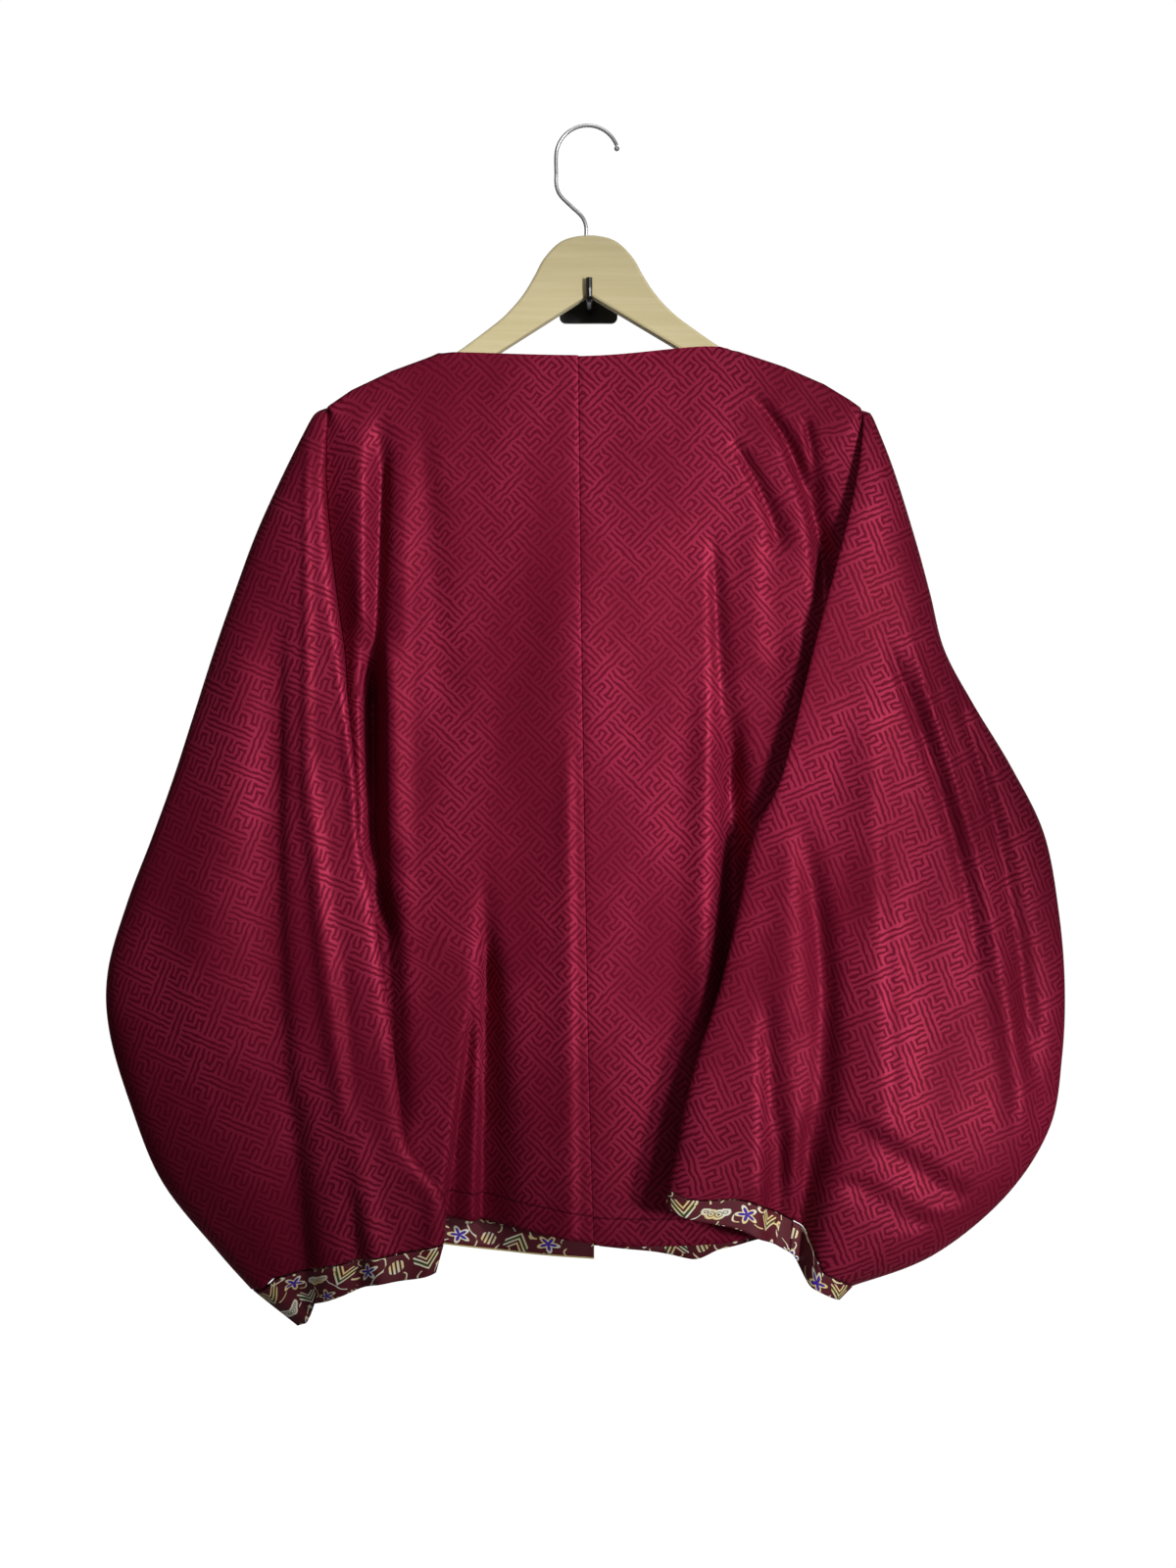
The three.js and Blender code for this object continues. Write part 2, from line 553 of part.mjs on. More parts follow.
const hanger = new THREE.Group();
hanger.position.y = HANG_Y;
hanger.rotation.y = -TILT;
jacket.add(hanger);
add(hanger, "hanger_board", hangerGeometry(), beech);
add(hanger, "hanger_hook", rod(hookPoints(), WIRE.radius, 46), steel);
const BEAD = { radius: 2.1, drop: 2.4 };
const tip = hookPoints().at(-1);
const bead = add(hanger, "hanger_hook_bead", new THREE.SphereGeometry(BEAD.radius, 12, 8), steel);
bead.position.set(tip.x, 0, tip.z - BEAD.drop);

// ---- wall hook: a plate on the wall and a bent peg that carries the hanger's arch
const PLATE = { wide: 46, high: 52, thick: 3, corner: 5 };
const PEG = { radius: 2.5, x: 0.5, z: -16, tipY: -49.4, tipZ: 0, bend: 5 };

function plateGeometry() {
  const [w, h, r] = [PLATE.wide / 2, PLATE.high / 2, PLATE.corner];
  const shape = new THREE.Shape();
  shape.moveTo(-w + r, -h);
  shape.lineTo(w - r, -h);
  shape.absarc(w - r, -h + r, r, -Math.PI / 2, 0);
  shape.absarc(w - r, h - r, r, 0, Math.PI / 2);
  shape.absarc(-w + r, h - r, r, Math.PI / 2, Math.PI);
  shape.absarc(-w + r, -h + r, r, Math.PI, 1.5 * Math.PI);
  const settings = { depth: PLATE.thick, bevelEnabled: false, curveSegments: 4 };
  const geometry = new THREE.ExtrudeGeometry(shape, settings);
  geometry.rotateX(Math.PI / 2);
  return geometry;
}
add(jacket, "wall_hook_plate", plateGeometry(), blackPaint);
const pegPath = [
  [-PLATE.thick - SEAM, PEG.z],
  [-20, PEG.z],
  [-38, PEG.z],
  [PEG.tipY + PEG.bend, PEG.z],
  [PEG.tipY + PEG.bend / 5, PEG.z + PEG.bend / 3],
  [PEG.tipY, PEG.z + PEG.bend],
  [PEG.tipY, PEG.tipZ],
].map(([y, z]) => new THREE.Vector3(PEG.x, y, z));
add(jacket, "wall_hook_peg", rod(pegPath, PEG.radius, 22), blackPaint);

export default jacket;
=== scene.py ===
"""Looks of the hanbok jacket on its hanger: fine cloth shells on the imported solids, and the materials.

The tables are in millimetres, in the part's own frame: the jacket's back faces -Y, +X is the wearer's
right and +Z is up. Tables with columns named inX, outX and the like hold distances outwards from the middle.
"""
import math

import bpy
import numpy as np
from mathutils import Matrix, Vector


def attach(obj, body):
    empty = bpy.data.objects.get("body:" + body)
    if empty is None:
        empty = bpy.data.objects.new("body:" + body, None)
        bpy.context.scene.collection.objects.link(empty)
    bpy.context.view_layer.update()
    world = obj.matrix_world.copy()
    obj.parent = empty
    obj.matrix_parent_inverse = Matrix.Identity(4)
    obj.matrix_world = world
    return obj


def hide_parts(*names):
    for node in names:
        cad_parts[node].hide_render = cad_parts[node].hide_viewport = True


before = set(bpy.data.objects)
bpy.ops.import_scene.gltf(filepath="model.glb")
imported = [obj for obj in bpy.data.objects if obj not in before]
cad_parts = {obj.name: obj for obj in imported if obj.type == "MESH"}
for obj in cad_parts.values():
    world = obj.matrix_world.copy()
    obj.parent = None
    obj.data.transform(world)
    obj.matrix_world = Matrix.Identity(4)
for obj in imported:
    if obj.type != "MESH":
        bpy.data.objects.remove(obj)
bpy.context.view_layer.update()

# ---- driving sizes
MM = 0.001
THICKNESS = {"damask": 1.0, "print": 0.8}  # of the shells, inside the walls of the solids
SOLID_CLOTH = 1.5  # wall of the solid damask pieces
SOLID_PRINT = 1.1  # wall of the solid printed pieces
SEAM = 0.3  # clear gap between two pieces along a seam
ARMHOLE_GAP = 0.7  # from the sleeve's seam to the edge of the body panels
CENTRE_GAP = 0.04  # the shells of the two backs all but meet at the centre seam
HANG_Y = -40.0  # plane through the middle of the hanger and of the side seams
SHOULDER_ROUND = 9.0  # drop over which the cloth turns over the shoulder line
RIDGE_RISE = 1.0  # height of the cloth over the hanger's arm above the first row of a panel
RIDGE_BLEND = 12.0  # run from the neck corner to where the cloth is closed over the arm
SIDE_BEND = 22.0  # width of a panel's turn to its side seam
BEND_RUN, BEND_START = 48.0, 12.0  # height in which that turn grows, and how far above the tip it starts
NECK_BLEND = (14.0, 2.0)  # in from the neck corner, where the neck's edge turns into the shoulder
FOLDS_SET_IN = (4.0, 40.0)  # drops below the shoulder line between which the folds grow
SIDE_HEM_X = 165.0  # where the side seam meets the hem
EDGE_TUCK, TUCK_WIDTH = 0.5, 2.4  # the cloth turns in along the middle edges
CENTRE_SOFTNESS = 40.0  # height over which the centre seam's corners are rounded
FACING_HEIGHT = 38.0  # printed facing above the hem of a front
FACING_ENDS = 18  # columns of the turn to the side seam that the facing leaves out
TILT = 0.014  # the hanger hangs this much out of level, right arm up (mm per mm)
HEM_LINE = 21.0  # height of the hem's stitching above the edge

SIDES = {"right": 1, "left": -1}  # the wearer's sides, and the way x grows on them


# ---- small helpers
def mix(a, b, t):
    return a + (b - a) * t


def smooth(low, high, v):
    t = np.clip((v - low) / (high - low), 0, 1)
    return t * t * (3 - 2 * t)


def bezier(a, b, c, d, t):
    return a * (1 - t) ** 3 + 3 * b * t * (1 - t) ** 2 + 3 * c * t * t * (1 - t) + d * t**3


def bell(v, width):
    """A smooth bump: 1 at 0, and 1/e at the width."""
    return np.exp(-((v / width) ** 2))


def table(columns, *rows):
    """A table as its columns by name."""
    return {name: np.array([row[i] for row in rows], float) for i, name in enumerate(columns.split())}


def row_at(rows, index):
    """A table's columns at fractional indices, on Catmull-Rom curves."""
    last = len(next(iter(rows.values()))) - 1
    q = np.clip(index, 0, last)
    i = np.minimum(np.floor(q).astype(int), last - 1)
    t = q - i
    found = {}
    for name, v in rows.items():
        a, b, c, d = (v[np.clip(i + k, 0, last)] for k in (-1, 0, 1, 2))
        found[name] = b + 0.5 * t * (c - a + t * (2 * a - 5 * b + 4 * c - d + t * (3 * (b - c) + d - a)))
    return found


def edge_at(xs, zs, x):
    """Straight runs between points, carried on a little past the ends."""
    x = np.asarray(x, float)
    i = np.clip(np.searchsorted(xs, x, side="right"), 1, len(xs) - 1)
    t = np.clip((x - xs[i - 1]) / (xs[i] - xs[i - 1]), -0.5, 1.5)
    return zs[i - 1] + (zs[i] - zs[i - 1]) * t


def soft_edge(edge, x, reach=7.0):
    """The same with its corners rounded over a short reach."""
    xs, zs = edge["x"], edge["z"]
    return sum(edge_at(xs, zs, x + k * reach) for k in (-1, -0.5, 0, 0.5, 1)) / 5


def by_height(edge, z, reach=0.0):
    """x of an edge at a height, rounded over a reach where one is given."""
    xs, zs = -edge["z"], edge["x"]
    if reach:
        return sum(edge_at(xs, zs, -z + k * reach) for k in (-1, -0.5, 0, 0.5, 1)) / 5
    return edge_at(xs, zs, -z)


# ---- sleeves: a row for each section, from the shoulder tip down to the cuff seam
SECTION = "inX inZ outX outZ near far farX seamX seamY front rise"
SLEEVES = {
    "right": {
        "underarm": 7,
        "steps": (0.45, 0.7, 0.82),
        "turn": -23.0,
        "cuff": {"inX": 63, "inZ": -715, "outX": 195, "outZ": -791, "rise": 16},
        "rows": table(
            SECTION,
            (212, -102, 219, -104, -43, -37, 214, 213, -41.2, -38.8, 0),
            (211, -114, 223, -113, -54, -29, 216, 214, -48, -32, 0),
            (204, -148, 237, -150, -66, -25, 222, 211, -54, -30, 0),
            (189, -203, 253.5, -203, -74, -22, 222, 206, -58, -29, 0),
            (177, -244, 265, -245, -77, -20, 222, 201, -60, -28, 0),
            (164, -290, 276, -288, -79, -18, 222, 196, -60, -28, 0),
            (152, -338, 299, -331, -81, -17, 222, 192, -58, -31, 0),
            (139, -388, 328, -379, -85, -15, 222, 188, -50, -40, 0),
            (126, -438, 353.5, -431, -87, -15, 220, 184, -66, -66, 0),
            (115, -493, 365, -492, -87, -15, 218, 176, -69, -69, 0),
            (103, -546, 369.5, -548, -88, -16, 218, 172, -69, -69, 0),
            (87, -598, 367.5, -603, -89, -18, 216, 169, -69, -69, 0),
            (77, -639, 357.5, -659, -92, -20, 214, 166, -65, -65, 6),
            (71, -673, 323, -712, -93, -24, 210, 163, -65, -65, 14),
            (67, -690, 267, -757, -94, -32, 202, 160, -65, -65, 21),
            (65, -701, 206, -780, -94, -40, 188, 156, -65, -65, 26),
        ),
    },
    "left": {
        "underarm": 8,
        "steps": (0.5, 0.86, 0.93),
        "turn": 23.0,
        "cuff": {"inX": 117, "inZ": -764, "outX": 226, "outZ": -812, "rise": 13},
        "rows": table(
            SECTION,
            (203, -100, 211, -103, -43, -37, 205, 204, -41.2, -38.8, 0),
            (201, -112, 217, -112, -53, -29, 206, 203, -48, -32, 0),
            (202, -155, 238, -154, -61, -25, 216, 204, -46, -30, 0),
            (199, -200, 258, -198, -64, -22, 218, 201, -44, -29, 0),
            (194, -246, 275, -244, -66, -20, 218, 196, -42, -28, 0),
            (187, -292, 291, -290, -67, -18, 217, 190, -41, -28, 0),
            (180, -343, 307, -340, -68, -17, 216, 187, -41, -29, 0),
            (174, -392, 322.5, -388, -68, -16, 216, 184, -42, -31, 0),
            (171, -437, 339, -434, -72, -15, 216, 184, -48, -38, 0),
            (165, -486, 358, -484, -77, -15, 214, 178, -65, -65, 0),
            (158, -531, 373, -537, -81, -16, 212, 172, -67, -67, 0),
            (151, -580, 372, -583, -83, -17, 210, 168, -67, -67, 0),
            (145, -628, 356, -639, -84, -19, 208, 166, -67, -67, 0),
            (138, -668, 331, -700, -85, -23, 206, 164, -67, -67, 2),
            (112, -706, 288, -754, -85, -30, 204, 150, -67, -67, 6),
            (111, -742, 262, -783, -85, -38, 200, 146, -67, -67, 6),
        ),
    },
}

# ---- body: distances outwards from the middle
POINT = "x z"
BODIES = {
    "right": {
        "neckX": 106.0,
        "lean": TILT,
        "backHem": table(
            POINT, (0, -747), (30, -748.5), (68, -748.5), (105, -747), (144, -738), (165, -733)
        ),
        "frontHem": table(
            POINT, (8, -755.5), (38, -758.5), (77, -765), (84, -765.5), (95, -757), (165, -742)
        ),
        "side": table(POINT, (188, -388), (177, -415), (170, -550), (158, -750)),
        "frontEdge": table(POINT, (6, -250), (8.5, -760)),
    },
    "left": {
        "neckX": 113.0,
        "lean": -TILT,
        "backHem": table(POINT, (0, -746), (40, -739), (76, -733.5), (110, -729.5), (170, -724)),
        "frontHem": table(POINT, (-6, -765), (31, -762.5), (77, -758.5), (112, -752.5), (170, -740)),
        "side": table(POINT, (184, -437), (174, -465), (168, -600), (162, -750)),
        "frontEdge": table(POINT, (-4, -250), (-4.5, -760)),
    },
}
SHOULDER = table(POINT, (90, -49), (110, -56), (151, -70), (183, -84.2), (203, -97.2), (213, -105))
CENTRE_SEAM = table(POINT, (-8, -61), (-5, -314), (0, -620), (4, -748))
NECK_MID_Z = -61.0
FRONT_NECK_Z = -250.0
BODY_DEPTH = table(  # y of the hanging back and front by the height below the frame's origin
    "z back front",
    (52, -50, -30),
    (150, -54, -28),
    (300, -57.5, -25),
    (450, -59, -23),
    (600, -58, -22),
    (770, -53, -24),
)

# ---- folds: a trough (depth above 0) or a ridge (below 0) from its top to its end, with x towards the
# wearer's right, its width on either side, the share of the width at its top, and the bow of its line
FOLD = "topX topZ endX endZ left right narrow depth bow"
BACK_FOLDS = [
    (-160, -105, -168, -330, 8, 9, 0.8, 8, 0),
    (-168, -290, -166, -480, 9, 11, 0.8, 14, 0),
    (-156, -470, -146, -640, 10, 12, 0.8, 8, 0),
    (-128, -110, -112, -310, 14, 14, 0.6, 2.5, 0),
    (-80, -455, -82, -745, 14, 24, 0.3, 5, 0),
    (-14, -160, -10, -735, 34, 80, 0.9, -7, 0),
    (128, -90, 183, -225, 8, 8, 0.6, 8, 14),
    (112, -330, 116, -560, 12, 14, 0.5, 10, 0),
    (92, -300, 84, -640, 14, 14, 0.6, -5, 0),
]
FRONT_FOLDS = [
    (-150, -110, -120, -730, 14, 22, 0.4, -6, -6),
    (158, -110, 110, -730, 22, 14, 0.4, -6, 8),
    (70, -300, 60, -740, 18, 16, 0.6, 4, 3),
    (-64, -320, -70, -740, 16, 18, 0.6, 4, -4),
]
SLEEVE_FOLDS = [
    (216, -335, 224, -640, 26, 24, 0.6, -5, 0),
    (160, -420, 146, -790, 14, 13, 0.6, 12, 26),
    (150, -420, 148, -560, 14, 14, 0.7, -5, 0),
    (133, -550, 140, -760, 8, 14, 0.5, 13, 2),
    (243, -270, 330, -620, 12, 10, 0.5, -5, 6),
    (-196, -130, -184, -400, 10, 9, 0.8, 8, 0),
    (-213, -370, -153, -790, 10, 12, 0.5, -7, -10),
    (-236, -250, -214, -795, 30, 10, 0.6, 7, -12),
    (-262, -250, -296, -560, 26, 26, 0.7, -4, 0),
    (-126, -690, -125, -800, 17, 8, 0.8, 9, 0),
]


def fold_depth(folds, x, z):
    """How far all the folds of a list move the cloth in, at each point."""
    total = 0
    for row in folds:
        fold = dict(zip(FOLD.split(), row))
        down = (fold["topZ"] - z) / (fold["topZ"] - fold["endZ"])
        along = np.clip(down, 0, 1)
        centre = mix(fold["topX"], fold["endX"], along) + fold["bow"] * 4 * along * (1 - along)
        width = np.where(x < centre, fold["left"], fold["right"]) * mix(fold["narrow"], 1, along)
        fade = smooth(-0.04, 0.22, down) * (1 - smooth(1, 1.25, down))
        total = total + fold["depth"] * fade * bell(x - centre, width)
    return total


# ---- finer creases of the shells alone
BACK_CREASES = [
    (-177, -108, -172, -300, 8, 7, 0.8, -3, 0),
    (-174, -265, -172, -385, 8, 10, 0.8, 8, 0),
    (-155, -270, -153, -420, 7, 9, 0.8, -5, 0),
    (106, -350, 108, -560, 10, 16, 0.6, 8, 0),
    (-90, -560, -113, -745, 4, 22, 0.3, 16, 0),
    (-80, -500, -84, -745, 4, 28, 0.3, 16, 0),
    (-158, -130, -166, -300, 5, 7, 0.8, 4, 0),
    (150, -125, 184, -240, 7, 7, 0.6, 6, 6),
    (-171, -300, -168, -470, 8, 8, 0.8, 6, 0),
    (-143, -120, -140, -640, 9, 9, 0.8, -2, -2),
    (-15, -340, -13, -720, 12, 4, 0.6, -2.5, 0),
    (96, -200, 106, -380, 8, 10, 0.5, 5, 0),
    (110, -125, 146, -200, 6, 8, 0.5, 7, 4),
    (168, -108, 178, -165, 5, 6, 0.5, 5, 0),
    (126, -190, 128, -290, 14, 12, 0.7, -2, 0),
    (162, -270, 160, -400, 14, 10, 0.7, -4, 0),
]
SLEEVE_CREASES = [
    (226, -280, 296, -500, 8, 11, 0.5, 5, 6),
    (276, -300, 336, -570, 8, 10, 0.6, 5, 8),
    (194, -642, 280, -702, 34, 8, 0.8, 5.5, 0),
    (196, -688, 256, -726, 30, 7, 0.8, 3.5, 0),
    (158, -540, 154, -780, 26, 22, 0.5, 5, 4),
    (-216, -125, -216, -390, 4, 6, 0.8, -3, 0),
    (-186, -500, -176, -760, 8, 8, 0.6, 4, 0),
    (146, -640, 150, -770, 7, 10, 0.5, 6, 0),
    (168, -640, 160, -770, 8, 10, 0.6, 5, 0),
    (220, -390, 231, -610, 5, 5, 0.7, 1.5, 0),
    (-222, -620, -216, -790, 18, 14, 0.6, 5, 0),
]


PANEL_FOLDS = {"back": BACK_FOLDS + BACK_CREASES, "front": FRONT_FOLDS}


def unevenness(x, z):
    """The faint waviness of hanging cloth, longer downwards than across."""
    broad = 0.35 * np.sin(x / 17 + 2.1 * np.sin(z / 96)) * np.sin(z / 74 + x / 120)
    fine = 0.22 * np.sin(x / 8.3 - z / 61 + 1.3) * np.sin(z / 43 + 0.7)
    return broad + fine


# ---- sections of a sleeve
RETURN, WALL = 6, 10  # steps of the solid's section in the return at the seam and in the wall
FLATNESS = 0.75  # below 1 the near wall is flatter and turns later
WALL_START, WALL_START_SHARE = 14.0, 0.3  # from the inner fold to the wall, or this share of the width
SEAM_PULL = 0.55  # how far the wall's tangent at the armhole reaches towards the near wall
CLOSING = (-0.2, 0.8)  # rows from the underarm between which the seam becomes an inner fold
HANDLE = 0.55  # of the curve from the far wall to the front armhole seam


def row_z(sleeve, row, x):
    """The height of a section at x: it slopes from the inner to the outer fold and may be raised between."""
    t = (x - row["inX"]) / (row["outX"] - row["inX"])
    start, top, end = sleeve["steps"]
    return mix(row["inZ"], row["outZ"], t) + row["rise"] * smooth(0, start, t) * (1 - smooth(top, end, t))


def sleeve_near(sleeve, row, index, s, sign):
    """The wall towards the viewer: s is 0 at the seam, 1 past the inner fold and 2 at the outer fold."""
    closed = smooth(sleeve["underarm"] + CLOSING[0], sleeve["underarm"] + CLOSING[1], index)
    start_x = row["inX"] + np.minimum(WALL_START, WALL_START_SHARE * (row["outX"] - row["inX"]))
    fold_x = row["inX"] - (row["seamX"] + start_x - 2 * row["inX"]) / 6
    turn_x = mix(row["seamX"] + 1, fold_x, closed)
    turn_y = mix(mix(row["seamY"], row["near"], SEAM_PULL), row["seamY"], closed)
    t = np.clip(s, 0, 1)
    angle = np.clip(s - 1, 0, 1) * math.pi / 2
    edge_y = HANG_Y - SEAM / 2
    return_x = bezier(row["seamX"], turn_x, fold_x, start_x, t)
    return_y = bezier(row["seamY"], turn_y, row["near"], row["near"], t)
    wall_x = start_x + (row["outX"] - start_x) * np.sin(angle)
    wall_y = edge_y + (row["near"] - edge_y) * np.cos(angle) ** FLATNESS
    x = np.where(s < 1, return_x, wall_x)
    y = np.where(s < 1, return_y, wall_y)
    z = row_z(sleeve, row, x)
    step = np.where(s < 1, s * RETURN, RETURN + (s - 1) * WALL)
    on_wall = smooth(RETURN - 1, RETURN + 2, step) * (1 - smooth(0.8, 1, s - 1))
    worn = sign * x
    y = y + on_wall * (fold_depth(SLEEVE_FOLDS + SLEEVE_CREASES, worn, z) + unevenness(worn, z))
    return np.stack([worn, y, z], -1)


def sleeve_far(sleeve, row, index, s, sign):
    """The wall away from the viewer: s is 0 at the outer fold and 2 at the armhole or under seam."""
    end_x = row["seamX"] + SEAM
    edge_y = HANG_Y + SEAM / 2
    angle = np.clip(s, 0, 1) * math.pi / 2
    t = np.clip(s - 1, 0, 1)
    handle = (row["farX"] - end_x) * HANDLE
    wall_x = row["farX"] + (row["outX"] - row["farX"]) * np.cos(angle)
    wall_y = edge_y + (row["far"] - edge_y) * np.sin(angle)
    return_x = bezier(row["farX"], row["farX"] - handle, end_x + handle, end_x, t)
    return_y = bezier(row["far"], row["far"], row["front"], row["front"], t)
    x = np.where(s < 1, wall_x, return_x)
    y = np.where(s < 1, wall_y, return_y)
    return np.stack([sign * x, y, row_z(sleeve, row, x)], -1)


SLEEVE_ROWS = 170
SLEEVE_CROWDING = 1.25  # above 1 the rows are closer together at the shoulder
CUFF_ROWS = 14
CUFF_START = 0.05  # share of the cuff's height that the seam takes


def sleeve_grid(side, section, columns):
    sleeve = SLEEVES[side]
    last = len(sleeve["rows"]["inX"]) - 1
    index = last * np.linspace(0, 1, SLEEVE_ROWS)[:, None] ** SLEEVE_CROWDING
    return section(sleeve, row_at(sleeve["rows"], index), index, columns[None, :], SIDES[side])


def cuff_grid(side, section, columns):
    """The cuff carries on from the sleeve's last section to its own edge."""
    sleeve = SLEEVES[side]
    t = np.linspace(CUFF_START, 1, CUFF_ROWS)[:, None]
    last = {name: v[-1] for name, v in sleeve["rows"].items()}
    row = {name: last[name] + 0 * t for name in last}
    for name, value in sleeve["cuff"].items():
        row[name] = mix(last[name], value, t)
    row["seamX"] = last["seamX"] + row["inX"] - last["inX"]
    row["farX"] = last["farX"] + row["outX"] - last["outX"]
    index = len(sleeve["rows"]["inX"]) - 1 + 0 * t
    return section(sleeve, row, index, columns[None, :], SIDES[side])


# ---- body panels
def shoulder_z(body, x):
    return edge_at(SHOULDER["x"], SHOULDER["z"], x) + body["lean"] * x


def back_top_z(body, x):
    """The top edge of the back: a shallow neck, then the shoulder."""
    corner = shoulder_z(body, body["neckX"])
    neck = mix(NECK_MID_Z, corner, smooth(-0.1, 1, x / body["neckX"]) ** 1.3)
    return np.where(x >= body["neckX"], shoulder_z(body, x), neck)


def front_top_z(body, x):
    """The top edge of a front: one side of the V neck, then the shoulder."""
    corner = shoulder_z(body, body["neckX"])
    neck = mix(FRONT_NECK_Z, corner, np.clip(x / body["neckX"], 0, 1) ** 0.8)
    return np.where(x >= body["neckX"], shoulder_z(body, x), neck)


def body_edges(side):
    """Where each row of one side of the body meets the armhole or the side seam."""
    sleeve, body = SLEEVES[side], BODIES[side]
    index = sleeve["underarm"] * np.linspace(0, 1, ABOVE_UNDERARM) ** 1.5
    row = row_at(sleeve["rows"], index)
    z = row_z(sleeve, row, row["seamX"])
    t = np.linspace(0, 1, BELOW_UNDERARM + 1)[1:]
    hem_z = edge_at(body["backHem"]["x"], body["backHem"]["z"], SIDE_HEM_X)
    low_z = mix(z[-1], hem_z, t)
    join = smooth(0, 0.22, t)
    return {
        "x": np.concatenate([row["seamX"], by_height(body["side"], low_z)]) - ARMHOLE_GAP,
        "z": np.concatenate([z, low_z]),
        "back": np.concatenate([row["seamY"], mix(row["seamY"][-1], HANG_Y - SEAM / 2, join)]),
        "front": np.concatenate([row["front"], mix(row["front"][-1], HANG_Y + SEAM / 2, join)]),
    }


CENTRE_SHARES = (0, 0.012, 0.025, 0.04, 0.06, 0.085)  # of the neck's width, close together at the middle edge
NECK_START = 0.115  # share at which the neck's even columns start
NECK_COLUMNS, CHEST_COLUMNS, BEND_COLUMNS = 33, 39, 22
ABOVE_UNDERARM, BELOW_UNDERARM = 100, 90  # rows of a panel


def body_columns(top_x, body, bend_share):
    """Shares of the width: the neck, the chest and the bend to the side, closer at both ends."""
    neck_share = body["neckX"] / top_x
    even = np.linspace(NECK_START, 1, NECK_COLUMNS + 1)[:-1]
    neck = np.concatenate([CENTRE_SHARES, even]) * neck_share
    chest = np.linspace(0, 1, CHEST_COLUMNS + 1)[:-1]
    bend = np.linspace(0, 1, BEND_COLUMNS)
    bend_share = bend_share[:, None]
    shares = [
        np.broadcast_to(neck, (len(bend_share), len(neck))),
        mix(neck_share, bend_share, chest[None, :]),
        mix(bend_share, 1, bend[None, :]),
    ]
    into_bend = np.concatenate([0 * neck, 0 * chest, bend])
    return np.concatenate(shares, axis=1), into_bend[None, :]


def body_grid(side, face):
    """A body panel: its rows run down from the shoulder and its columns outwards from the middle edge."""
    sign, body = SIDES[side], BODIES[side]
    inwards = 1 if face == "back" else -1  # along y, towards the other panel
    edge = body_edges(side)
    top_x = edge["x"][0]
    bend = SIDE_BEND * smooth(0, BEND_RUN + BEND_START, edge["z"][0] - edge["z"] + BEND_START)
    share, t = body_columns(top_x, body, (edge["x"] - bend) / edge["x"])
    z = panel_z(body, face, edge, share)
    inner = sign * by_height(CENTRE_SEAM, z, CENTRE_SOFTNESS)
    gap = CENTRE_GAP
    if face == "front":
        inner = by_height(body["frontEdge"], z)
        gap = SEAM
    x = mix(inner + gap / 2, edge["x"][:, None], share)
    worn = sign * x
    drop = shoulder_z(body, np.maximum(share * top_x, body["neckX"])) - z
    rounding = (1 - (1 - np.clip(drop / SHOULDER_ROUND, 0, 1)) ** 4) ** 0.25
    neck_x = body["neckX"]
    on_shoulder = smooth(neck_x - NECK_BLEND[0], neck_x - NECK_BLEND[1], share * top_x)
    flat = panel_y(face, edge, z, t)
    middle = HANG_Y - inwards * SEAM / 2
    y = mix(flat, middle + (flat - middle) * rounding, on_shoulder)
    on_wall = (1 - smooth(0.2, 1, t)) * smooth(*FOLDS_SET_IN, drop)
    y = y + (fold_depth(PANEL_FOLDS[face], worn, z) + unevenness(worn, z)) * on_wall
    y = y + inwards * EDGE_TUCK * bell(x - inner, TUCK_WIDTH)
    rows = np.stack([worn, y, z], -1)
    return np.concatenate([ridge_rows(rows[0], body, middle), rows])


def panel_z(body, face, edge, share):
    """Heights of a panel's rows, from its top edge down to its hem."""
    top_of = back_top_z if face == "back" else front_top_z
    hem = body[face + "Hem"]
    top_x, bottom_x, bottom_z = edge["x"][0], edge["x"][-1], edge["z"][-1]
    tip = shoulder_z(body, top_x)
    down = np.clip((tip - edge["z"]) / (tip - bottom_z), 0, 1)[:, None]
    return mix(top_of(body, share * top_x), soft_edge(hem, share * bottom_x), down)


def panel_y(face, edge, z, t):
    """Depths of a hanging panel, which bends to its side seam as t goes from 0 to 1."""
    depths = BODY_DEPTH["z"]
    wall = edge_at(depths, BODY_DEPTH[face], np.clip(-z, depths[0], depths[-1]))
    target = edge[face][:, None]
    bent = bezier(wall, wall, mix(target, wall, 0.3), target, t)
    return mix(wall, bent, smooth(0, 0.02, t))


def ridge_rows(row, body, middle):
    """The cloth over the arm of the hanger, from the middle plane to the first row of the panel."""
    closed = smooth(body["neckX"], body["neckX"] + RIDGE_BLEND, np.abs(row[:, 0]))
    rows = []
    for share in (1.0, 0.75, 0.5, 0.25):
        y = mix(row[:, 1], middle, closed * share)
        rows.append(np.stack([row[:, 0], y, row[:, 2] + RIDGE_RISE * (1 - (1 - share) ** 2)], -1))
    return np.stack(rows)


# ---- from a grid of points to a closed shell
def normals_of(grid):
    """Unit normals of a grid. Rims on the middle plane face each other squarely."""
    padded = np.pad(grid, ((1, 1), (1, 1), (0, 0)), mode="edge")
    down = padded[2:, 1:-1] - padded[:-2, 1:-1]
    along = padded[1:-1, 2:] - padded[1:-1, :-2]
    normal = np.cross(down, along)
    normal[np.abs(grid[..., 1] - HANG_Y) < SEAM, 1] = 0
    return normal / np.linalg.norm(normal, axis=-1, keepdims=True)


